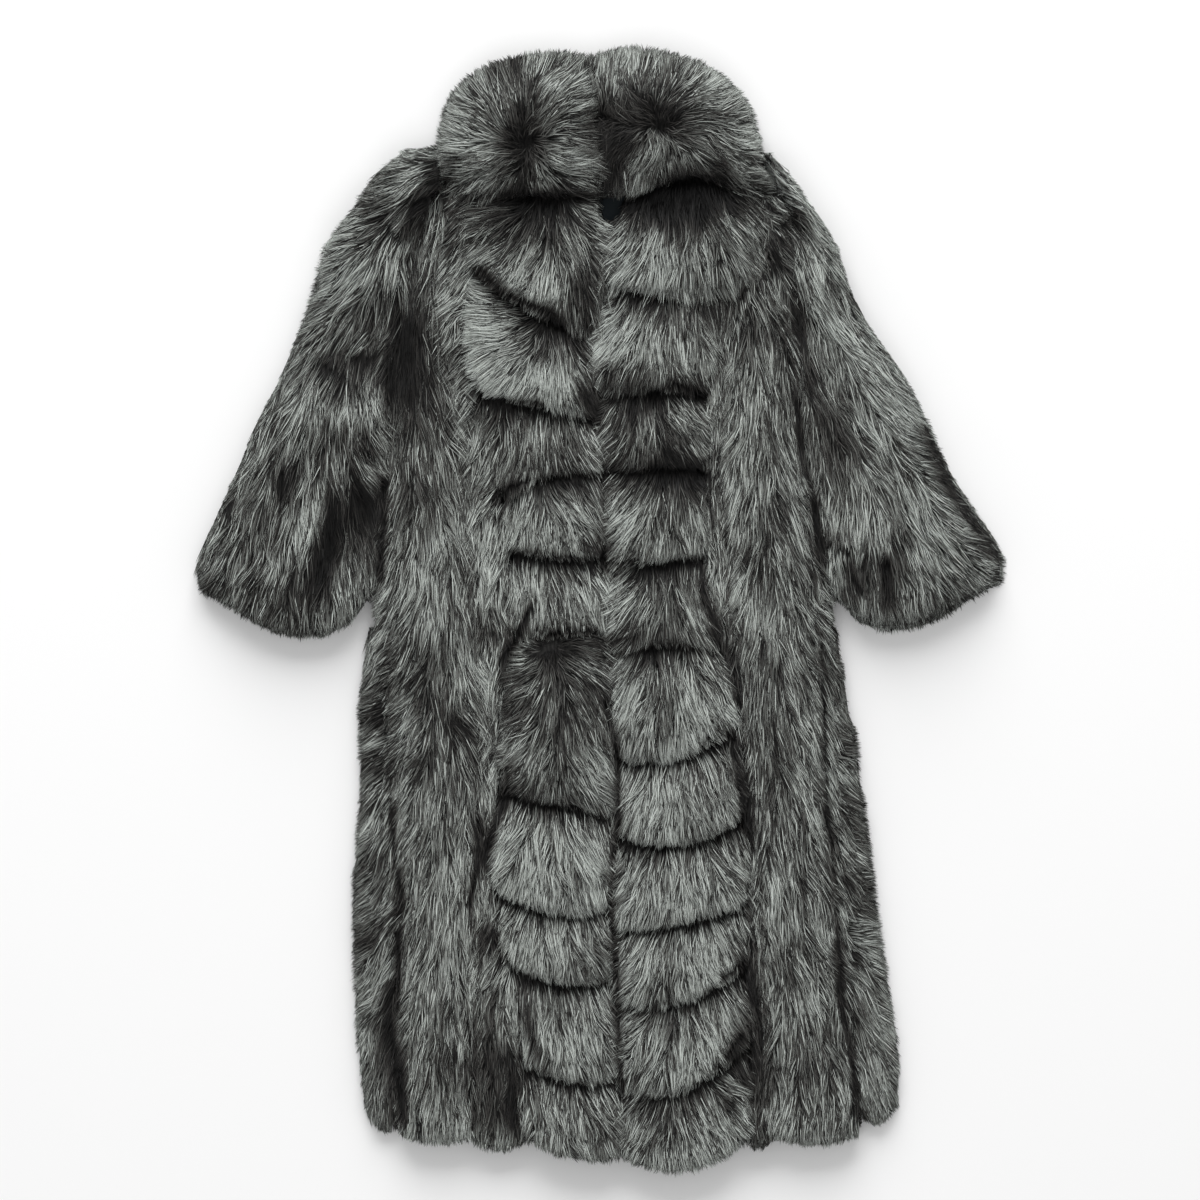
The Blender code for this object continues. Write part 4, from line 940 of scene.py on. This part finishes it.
# hair over the top of a piece (m, and shares of a hair's own length)
combing = {
    # where a piece begins behind its hairs
    "lookBack": 0.080, "backStep": 0.008,
    # how much further astray hair lies in a whorl's eye, and how long it is there
    "whorl": 6, "inEye": 0.40,
    # lengths; the lower coat's hair grows shorter
    "length": (0.65, 0.35), "byTuft": 0.35, "shortest": 0.004,
    "shortFrom": 0.10, "shortOver": 0.40,
    # share of a hair between two looks ahead, and how far past its own piece it looks
    "lookOn": 0.1, "nextPiece": 0.009, "nextLine": 0.006, "nextBare": 0.008,
    # a hair rooted off a narrow parting stops where it meets one
    "offLine": 0.65, "onLine": 0.55, "lineFade": 4,
    # how far hair runs on over the next piece
    "dropSoft": 0.008, "cross": (0.5, 0.5),
    # hair beside a seam
    "beside": 0.007, "edge": 0.014, "edgeLean": 0.15, "edgeCover": 0.4,
    # how far from its upper edge a piece's roots are less deep, and by what share
    "seam": 0.012, "bareRoot": 0.7, "rootAlong": 0.02, "bareAlong": 0.45,
    # how tips close in on that of their tuft and of their lock
    "tuftReach": 0.85, "tuftOdd": 0.30, "pinch": (0.5, 1.0), "cutPinch": 0.3, "mostPinch": 0.9,
    "lockWide": 0.012, "cutLock": 0.5,
    # tips pulled back to the coat
    "frayTries": 4, "fraySteps": 0.7,
    # heights past the edge of a piece, and of the bend
    "under": 0.010, "above": 0.004, "nextRise": 0.002, "edgeRise": 0.003, "bendLift": 0.7,
    # how much of the parting darkness and painted crease shade across the tip of a cut hair shows
    "cutPartingShade": 0.3,
}


def upstream(form, xy, way):
    # how far behind each root its piece begins
    reach, step = combing["lookBack"], combing["backStep"]
    far = np.full(len(xy), reach)
    for back in np.arange(reach, 0.0, -step):
        far = np.where(form.height(xy - way * back) < 0, back - step / 2, far)
    return far


def roomAhead(form, xy, way, length):
    # the share of its length after which each hair's piece ends or the fur parts, and the coat ends
    step = combing["lookOn"]
    free, room = np.full(len(xy), 1.0), np.full(len(xy), 1 + step)
    unparted = partingShade.line(xy) > combing["offLine"]
    for part in np.arange(1 + step, 0.0, -step):
        spot = xy + way * (length * part)[:, None]
        if part < 1 + step / 2:
            parted = unparted & (partingShade.line(spot) < combing["onLine"])
            free = np.where(hasHair(form, spot) & ~parted, free, part - step)
        room = np.where((coat.height(spot) < 0) | isBare(spot), part - step, room)
    return free, room


def runOn(form, plan, xy, way, length, trait):
    # hairs run on into the next piece except where the fur parts or the next piece is far below
    count = len(xy)
    free, room = roomAhead(form, xy, way, length)
    end = xy + way * (length * free)[:, None]
    drop = form.height(end) - coat.height(end + way * combing["nextPiece"])
    ahead = partingShade.line(end + way * combing["nextLine"])
    shade = np.minimum(partingShade.shade(end), ahead) ** combing["lineFade"]
    shade = shade * np.clip((plan["dropReach"] - drop) / combing["dropSoft"], 0, 1)
    over = plan["over"] * (0.1 + rng.random(count) * (0.5 + trait[:, 1]))
    over = over + length * (1 - free) * plan["cross"] * shade * spread(combing["cross"], count)
    edgeOver = plan["edgeOver"] * (rng.random(count) - 0.5 + trait[:, 1] ** 3)
    edgeOver = np.where(isBare(end + way * combing["nextBare"]), 0.0, edgeOver)
    cut = free < 1
    wanted = np.where(cut, length * free + over, length)
    atEdge = room < 1 + combing["lookOn"] / 2
    wanted = np.where(atEdge, np.minimum(wanted, length * room + edgeOver), wanted)
    return np.maximum(wanted, combing["shortest"]), cut, over


def leaned(form, plan, xy, way, side, bared):
    # beside a seam the hair leans over it, and at the coat's own edges a little
    count = len(xy)
    beside = side * combing["beside"]
    lean = (form.height(xy + beside) < 0) * 1.0 - (form.height(xy - beside) < 0)
    outside = coat.height(xy + side * (lean * combing["edge"])[:, None]) < 0
    lean = lean * np.where(outside, combing["edgeLean"], 1.0)
    xy = xy + side * (lean * plan["splay"] * rng.random(count))[:, None]
    outside = coat.height(xy - way * combing["edge"]) < 0
    cover = bared * plan["cover"] * np.where(outside, combing["edgeCover"], 1.0)
    return xy - way * (cover * rng.random(count))[:, None]


def intoLock(groom, plan, xy, tip, calm, cut):
    # tufts lie in larger locks, whose hairs close in towards the middle
    stretch = (1.0, plan["lockLong"])
    lock, lockTrait = tuftsAt(xy * stretch, plan["lock"], plan["seed"] + 2)
    lock = lock / stretch
    side = across(groom.lie(lock))
    aside = ((xy - lock) * side).sum(1)
    held = np.clip(aside, -combing["lockWide"], combing["lockWide"])
    pull = plan["lockPull"] * calm * np.where(cut, combing["cutLock"], 1.0) * held
    tone = plan["lockTone"] * (lockTrait[:, 1] - 0.5)
    # the sides of a lock get painted shade
    rim = plan["lockRimShade"] * (rimmed(np.abs(aside), plan["lock"]) - tonePlan["lockRimShade"])
    return tip - side * pull[:, None], tone, rim


def surfaceAt(form, plan, xy, way, length, mid, tip, rootZ, over):
    # the surface under each bend and tip, going down gently where a hair leaves its piece
    under, above = combing["under"], combing["above"]
    midZ = form.height(mid)
    midZ = np.where(midZ < 0, np.clip(coat.height(mid), rootZ - under, rootZ + above), midZ)
    edgeZ = form.height(xy + way * (length * 0.5)[:, None])
    edgeZ = np.where(edgeZ < 0, midZ, edgeZ)
    rise = combing["nextRise"]
    least = edgeZ - plan["droop"] * np.maximum(over, 0.0) - rise
    nextZ = np.clip(coat.height(tip) + rise, least, edgeZ + combing["edgeRise"])
    tipZ = form.height(tip)
    return midZ, np.where(tipZ < 0, nextZ, tipZ)


def combed(form, groom, plan, count, layer):
    # roots under the surface, tips along it
    spots, _ = form.topPoints(count)
    spots = spots[hasHair(form, spots[:, :2])]
    count = len(spots)
    xy = spots[:, :2]
    centre, trait = tuftsAt(xy, plan["tuft"], plan["seed"])
    calm = groom.calm(xy)
    wild = np.radians(plan["stray"] * (1 + combing["whorl"] * (1 - calm)))
    wander = lieWander(xy) * math.radians(plan["wander"])
    tuftTurn = math.radians(plan["tuftTurn"]) * (2 * trait[:, 0] - 1)
    tuftWay = turned(groom.lie(centre), wander + tuftTurn)
    way = gathered(groom.lie(xy), wander + rng.normal(0, 1, count) * wild, tuftWay, plan)
    length = spread(combing["length"], count) + combing["byTuft"] * trait[:, 1]
    length = plan["hair"] * length * (combing["inEye"] + (1 - combing["inEye"]) * calm)
    low = np.clip((combing["shortFrom"] - xy[:, 1]) / combing["shortOver"], 0, 1)
    length, cut, over = runOn(form, plan, xy, way, length * (1 - plan["shorten"] * low), trait)
    back = upstream(form, xy, way)
    bared = np.clip(1 - back / combing["seam"], 0, 1) * plan["seamLight"]
    rootZ = form.height(xy)
    side = across(way)
    xy = leaned(form, plan, xy, way, side, bared)
    bend = layer["bend"]
    mid = xy + way * (length * bend)[:, None]
    farWay = gathered(groom.lie(mid), wander + rng.normal(0, 1, count) * wild, tuftWay, plan)
    tip = mid + farWay * (length * (1 - bend))[:, None]
    # tips close in on that of their tuft
    tuftLength = plan["hair"] * (combing["tuftReach"] + combing["tuftOdd"] * trait[:, 1])
    tuftTip = centre + tuftWay * tuftLength[:, None]
    pinch = plan["pinch"] * np.where(cut, combing["cutPinch"], 1.0) * spread(combing["pinch"], count)
    tip = tip + (tuftTip - tip) * np.clip(pinch * calm, 0, combing["mostPinch"])[:, None]
    tip, lockTone, lockRimShade = intoLock(groom, plan, xy, tip, calm, cut)
    # no tip lies far off the coat
    for _ in range(combing["frayTries"]):
        astray = coat.height(tip - farWay * plan["fray"]) < 0
        tip[astray] = (mid + (tip - mid) * combing["fraySteps"])[astray]
    curl = rng.normal(0, plan["curl"], count) + plan["curl"] * (2 * trait[:, 2] - 1)
    mid = mid + side * (curl * length)[:, None]
    midZ, tipZ = surfaceAt(form, plan, xy, way, length, mid, tip, rootZ, over)
    lift = plan["lift"] * (trait[:, 3] - 0.5)
    depth = rng.random(count)
    sinks = [layer[key][0] + (layer[key][1] - layer[key][0]) * depth for key in ("root", "mid", "tip")]
    # where hair lies away from a seam, its roots are less deep and less dark than at a parting
    start = combing["rootAlong"] + combing["bareAlong"] * bared
    roots = raised(xy, rootZ - sinks[0] * (1 - combing["bareRoot"] * bared), "root")
    mids = raised(mid, midZ - sinks[1] + lift * combing["bendLift"], "mid")
    tips = raised(tip, tipZ - sinks[2] + lift, "tip")
    # hairs at the side of their tuft or lock are darker, which paints the shade between tufts and locks,
    # and a whorl's eye has little contrast
    aside = np.abs(((xy - centre) * across(tuftWay)).sum(1))
    rim = plan["rim"] * rimmed(aside, plan["tuft"]) + lockRimShade
    extra = plan["tuftTone"] * (trait[:, 1] - 0.5) + rng.normal(0, plan["hairTone"], count) - rim
    # hairs lying deeper get painted shade, and those nearer the top painted light
    extra = extra + lockTone - plan["depthShade"] * (depth - tonePlan["depth"])
    extra = extra * (tonePlan["eye"] + (1 - tonePlan["eye"]) * calm)
    # each piece is darkest along its upper edge, from the roots that show there and from painted shade
    # under the piece above, and most silver low down
    lowTip = layer["tone"] + np.where(cut, plan["lowSilver"], 0.0)
    dark = [plan["topRootsAndShade"] * np.exp(-((back + length * part) / plan["topReach"]) ** 2)
            for part in (bend, 1.0)]
    tone = toned(groom, mid, plan, extra, lowTip - dark[0])
    tipTone = toned(groom, tip, plan, extra, lowTip - dark[1], np.where(cut, combing["cutPartingShade"], 1.0))
    width = layer["width"] * spread(strand["width"], count)
    up = np.tile([0.0, 0.0, 1.0], (count, 1)) + rng.normal(0, 0.35, (count, 3))
    return roots, mids, tips, width, tone, tipTone, start, up


# hair on the upright sides (m, and shares of a hair's own length or height)
fringe = {
    # how much higher the coat may lie right beside a side that still grows hair
    "clear": 0.004,
    # how tufts and stray hair differ from those on top
    "tufts": 1.3, "stray": 2, "tuftTurn": 0.35,
    # how far it leans out, how long it is, and how far past the side it may reach
    "outward": (0.3, 1.2), "length": (0.35, 0.45), "limit": (0.25, 0.5), "byTuft": 0.9,
    # where its roots are, how far it hangs, and its bend
    "inset": 0.007, "depth": 0.003, "hang": 0.85, "bendDown": 0.25, "bendRun": 0.4, "bendOut": 0.7,
    # tips pulled back to the coat's corners
    "astray": 0.009, "tries": 4, "pull": 0.6,
    "width": (0.5, 0.6), "rootAlong": 0.42,
}


def fringed(form, groom, plan, count):
    # hair on the sides that face outward, standing a little off the coat's outline
    spots, normals = form.wallPoints(count)
    xy, out = spots[:, :2], unit(normals[:, :2])
    clear = coat.height(xy + out * plan["look"]) < spots[:, 2] + fringe["clear"]
    spots, xy, out = spots[clear], xy[clear], out[clear]
    count = len(spots)
    _, trait = tuftsAt(xy, plan["tuft"] * fringe["tufts"], plan["seed"] + 1)
    stray = rng.normal(0, math.radians(fringe["stray"] * plan["stray"]), count)
    way = turned(groom.lie(xy), stray + fringe["tuftTurn"] * (trait[:, 0] - 0.5))
    outward = plan["outward"] * spread(fringe["outward"], count)
    way = unit(way + out * outward[:, None])
    length = plan["hair"] * spread(fringe["length"], count)
    hanging = np.clip(-out[:, 1], 0, 1) * plan["hemReach"]
    limit = spread(fringe["limit"], count) + fringe["byTuft"] * trait[:, 1] ** 3
    limit = (plan["reach"] + hanging) * limit
    # a hair that the outline holds back hangs down the side instead
    ahead = (way * out).sum(1)
    along = way - out * ahead[:, None]
    reach = ahead * length
    held = np.clip(reach, -limit, limit)
    sag = np.minimum(spots[:, 2] * fringe["hang"], length * plan["sag"] + np.abs(reach - held))
    mid = xy + along * (length * fringe["bendRun"])[:, None] + out * (held * fringe["bendOut"])[:, None]
    tip = xy + along * length[:, None] + out * held[:, None]
    for _ in range(fringe["tries"]):
        astray = coat.height(tip - out * fringe["astray"]) < 0
        tip[astray] = (xy + (tip - xy) * fringe["pull"])[astray]
        mid[astray] = (xy + (mid - xy) * fringe["pull"])[astray]
    roots = raised(xy - out * fringe["inset"], spots[:, 2] - fringe["depth"], "root")
    mids = raised(mid, spots[:, 2] - sag * fringe["bendDown"], "mid")
    tips = raised(tip, spots[:, 2] - sag, "tip")
    extra = plan["tuftTone"] * (trait[:, 1] - 0.5) + rng.normal(0, plan["hairTone"], count)
    tone = toned(groom, xy, plan, extra)
    width = plan["wallWidth"] * spread(fringe["width"], count)
    up = np.column_stack([out * 0.6, np.ones(count)]) + rng.normal(0, 0.3, (count, 3))
    return roots, mids, tips, width, tone, tone, np.full(count, fringe["rootAlong"]), up


# flat hair on the side that the coat lies on
flatPlan = {
    "level": (0.0006, 0.0016), "root": 0.0030, "length": (0.6, 0.4), "bend": 0.4, "turn": 10,
    "tone": 0.35, "along": 0.02,
}


def underside(form, groom, plan, count):
    spots, _ = form.footPoints(count)
    xy = spots[:, :2]
    way = turned(groom.lie(xy), rng.normal(0, math.radians(flatPlan["turn"]), count))
    length = plan["hair"] * spread(flatPlan["length"], count)
    for part in (1.0, 0.75, 0.5, 0.25):
        gone = form.height(xy + way * (length * part)[:, None]) < 0
        length = np.where(gone, length * (part - 0.2), length)
    level = spread(flatPlan["level"], count)
    roots = np.column_stack([xy, level + flatPlan["root"]])
    mids = np.column_stack([xy + way * (length * flatPlan["bend"])[:, None], level])
    tips = np.column_stack([xy + way * length[:, None], level])
    tone = plan["dark"] + flatPlan["tone"] + rng.normal(0, plan["hairTone"], count)
    width = plan["underWidth"] * spread(strand["width"], count)
    up = np.tile([0.0, 0.0, -1.0], (count, 1)) + rng.normal(0, 0.2, (count, 3))
    return roots, mids, tips, width, tone, tone, np.full(count, flatPlan["along"]), up


def furPiece(name, parts):
    joined = [np.concatenate(column) for column in zip(*parts)]
    mesh = strandMesh(name, *joined)
    mesh.materials.append(furSkin)
    piece = bpy.data.objects.new(name, mesh)
    bpy.context.scene.collection.objects.link(piece)
    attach(piece, "root")
    print(name, len(joined[0]), "strands")


# pelts: the top of each solid, drawn in under the hair and given the leather's thickness
peltPlan = {
    "leather": 0.0014, "drawIn": 0.003,
    "sink": 0.34,                # share of a solid's height that the hair takes up
    "floorGap": 0.0035,          # under pieces that begin lower than onFloor
    "onFloor": 0.001,
    "pieceGap": 0.002,           # under the others
    "weld": 0.00002,
    "cutRoom": 1.02,             # how much larger than the skin the rectangle is that it's cut from
}
slotOf = {part["node"]: part["material_slot"] for part in frame["record"]["subparts"]}
undersides = ["back", "side_r", "side_l", "sleeve_r_under", "sleeve_l_under"]


def peltFrom(name):
    bpy.ops.object.select_all(action="DESELECT")
    source = frame["nodes"][name]
    pelt = source.copy()
    pelt.data = source.data.copy()
    pelt.parent = None
    for key in list(pelt.keys()):
        del pelt[key]
    pelt.name = "pelt_" + name
    bpy.context.scene.collection.objects.link(pelt)
    pelt.data.materials.clear()
    bpy.context.view_layer.objects.active = pelt
    pelt.select_set(True)
    bpy.ops.object.mode_set(mode="EDIT")
    bpy.ops.mesh.select_all(action="SELECT")
    bpy.ops.mesh.remove_doubles(threshold=peltPlan["weld"])
    bpy.ops.mesh.select_all(action="DESELECT")
    bpy.ops.object.mode_set(mode="OBJECT")
    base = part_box(name)[0].z
    lift = peltPlan["floorGap"] if base < peltPlan["onFloor"] else peltPlan["pieceGap"]
    if name not in undersides:
        for face in pelt.data.polygons:
            face.select = face.normal.z < -0.5
        bpy.ops.object.mode_set(mode="EDIT")
        bpy.ops.mesh.delete(type="FACE")
        bpy.ops.object.mode_set(mode="OBJECT")
    for vert in pelt.data.vertices:
        inward = vert.normal * peltPlan["drawIn"]
        vert.co.x -= inward.x
        vert.co.y -= inward.y
        vert.co.z = base + lift + (vert.co.z - base) * (1 - peltPlan["sink"])
    if name not in undersides:
        wall = pelt.modifiers.new("leather", "SOLIDIFY")
        wall.thickness = peltPlan["leather"]
        wall.offset = -1
        bpy.ops.object.modifier_apply(modifier="leather")
    bpy.ops.object.shade_smooth()
    pelt.data.materials.append(underfur)
    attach(pelt, "root")
    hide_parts(name)
    return pelt


for name in frame["nodes"]:
    if name in slotOf and name != "neck_lining":
        peltFrom(name)
print("pelts made")

lining = frame["nodes"]["neck_lining"]
lining.data.materials.clear()
lining.data.materials.append(makeMaterial("satinLining", satinLook))


# fur: what all pieces share, and below what each changes
furPlan = {
    "hair": 0.044, "shorten": 0.0, "tuft": 0.0080, "seed": 11,
    "lock": 0.020, "lockLong": 0.45, "lockPull": 0.45, "lockRimShade": 0.10, "lockTone": 0.10,
    "wander": 7, "tuftTurn": 5, "stray": 3.5, "gather": 0.40, "pinch": 0.40, "curl": 0.035,
    "splay": 0.006, "cover": 0.007, "over": 0.005, "cross": 0.75, "dropReach": 0.018,
    "edgeOver": 0.004, "fray": 0.012, "droop": 0.5, "lift": 0.003,
    "dark": 0.07, "silver": 0.99, "patch": 0.05,
    "topRootsAndShade": 0.0, "topReach": 0.042, "lowSilver": 0.0,
    "tuftTone": 0.18, "hairTone": 0.35, "rim": 0.12, "depthShade": 0.18, "seamLight": 1.0,
    "look": 0.012, "outward": 0.45, "reach": 0.001, "hemReach": 0.002, "sag": 0.35,
    "wallWidth": 0.0010, "underWidth": 0.0026,
}
layers = [
    # how far below the piece's surface the root, bend and tip lie (m), and where the bend is:
    # first the under hair, then the guard hair
    {"root": (0.010, 0.015), "mid": (0.003, 0.008), "tip": (0.001, 0.005),
     "bend": 0.5, "width": 0.0012, "tone": -0.14},
    {"root": (0.007, 0.011), "mid": (0.0005, 0.0035), "tip": (-0.001, 0.002),
     "bend": 0.4, "width": 0.00085, "tone": 0.02},
]
bandPlan = {
    "hair": 0.042, "shorten": 0.25, "cross": 0.3, "over": 0.003, "topRootsAndShade": 0.15,
    "lowSilver": 0.05, "seamLight": 0.35, "edgeOver": 0.010,
}
# the lapels' upper edges get more painted shade, where they lie under the collar's roll
lapels = {
    "band_r_01": {"topRootsAndShade": 0.26, "topReach": 0.055, "cross": 0.6, "dropReach": 0.045},
    "band_l_01": {"silver": 0.93, "topRootsAndShade": 0.56, "topReach": 0.052, "cross": 0.7, "dropReach": 0.045},
}
frontPlan = {
    "lockLong": 0.3, "lockRimShade": 0.15, "lockTone": 0.14, "hairTone": 0.40, "shorten": 0.25,
    "pinch": 0.30, "lockPull": 0.38, "edgeOver": 0.009,
}
# the sides' darkest fur is painted lighter, against the shade they lie in below the fronts
sidePlan = {"hairTone": 0.28, "dark": 0.20}
collarPlan = {
    "hair": 0.046, "silver": 1.05, "reach": 0.000, "lockLong": 0.8, "cross": 0.5, "edgeOver": 0.002,
    "lock": 0.026, "lockTone": 0.22, "tuft": 0.010, "tuftTone": 0.22, "tuftTurn": 14,
    "wander": 14, "stray": 5, "pinch": 0.35,
}
sleevePlans = {
    "r": {"dark": 0.11, "pinch": 0.32},
    "l": {"dark": 0.24, "silver": 1.06, "tuftTone": 0.12, "pinch": 0.32},
}
furGroups = {
    # pieces, strands on top, strands on outer walls, changes to the plan
    "fur_band_r": (["band_r_%02d" % i for i in range(1, 11)], 62000, 4000, bandPlan),
    "fur_band_l": (["band_l_%02d" % i for i in range(1, 12)], 70000, 4000, bandPlan),
    "fur_front_r": (["front_r"], 46000, 2500, frontPlan),
    "fur_front_l": (["front_l"], 50000, 2500, {**frontPlan, "silver": 0.96}),
    "fur_strip_r": (["strip_r"], 17000, 1200, {"hair": 0.030, "silver": 1.06, "edgeOver": 0.009}),
    "fur_strip_l": (["strip_l"], 11000, 1200, {"hair": 0.028, "edgeOver": 0.009}),
    "fur_side_r": (["side_r"], 10000, 6000, sidePlan),
    "fur_side_l": (["side_l"], 11000, 6000, sidePlan),
    "fur_collar": (["collar_r", "collar_l"], 38000, 8000, collarPlan),
    "fur_sleeve_r": (["sleeve_r_top", "sleeve_r_under"], 36000, 8000, sleevePlans["r"]),
    "fur_sleeve_l": (["sleeve_l_top", "sleeve_l_under"], 34000, 8000, sleevePlans["l"]),
    "fur_back": (["back"], 500, 3000, {}),
}
underHair = {
    "back": 12000, "side_r": 1200, "side_l": 1200, "sleeve_r_under": 3500, "sleeve_l_under": 3500,
}


def groomOf(name):
    # both panels of a sleeve are combed alike
    return Groom(guides[name.removesuffix("_top").removesuffix("_under")])


less = 1.0
for name, (nodes, top, wall, changes) in furGroups.items():
    whole = sum(forms[node].topArea() for node in nodes)
    parts = []
    for node in nodes:
        form, groom = forms[node], groomOf(node)
        plan = {**furPlan, **changes, **lapels.get(node, {})}
        share = less * form.topArea() / whole
        for layer in layers:
            parts.append(combed(form, groom, plan, int(share * top * 0.5), layer))
        parts.append(fringed(form, groom, plan, int(share * wall)))
        if node in underHair:
            parts.append(underside(form, groom, plan, int(less * underHair[node])))
    furPiece(name, parts)
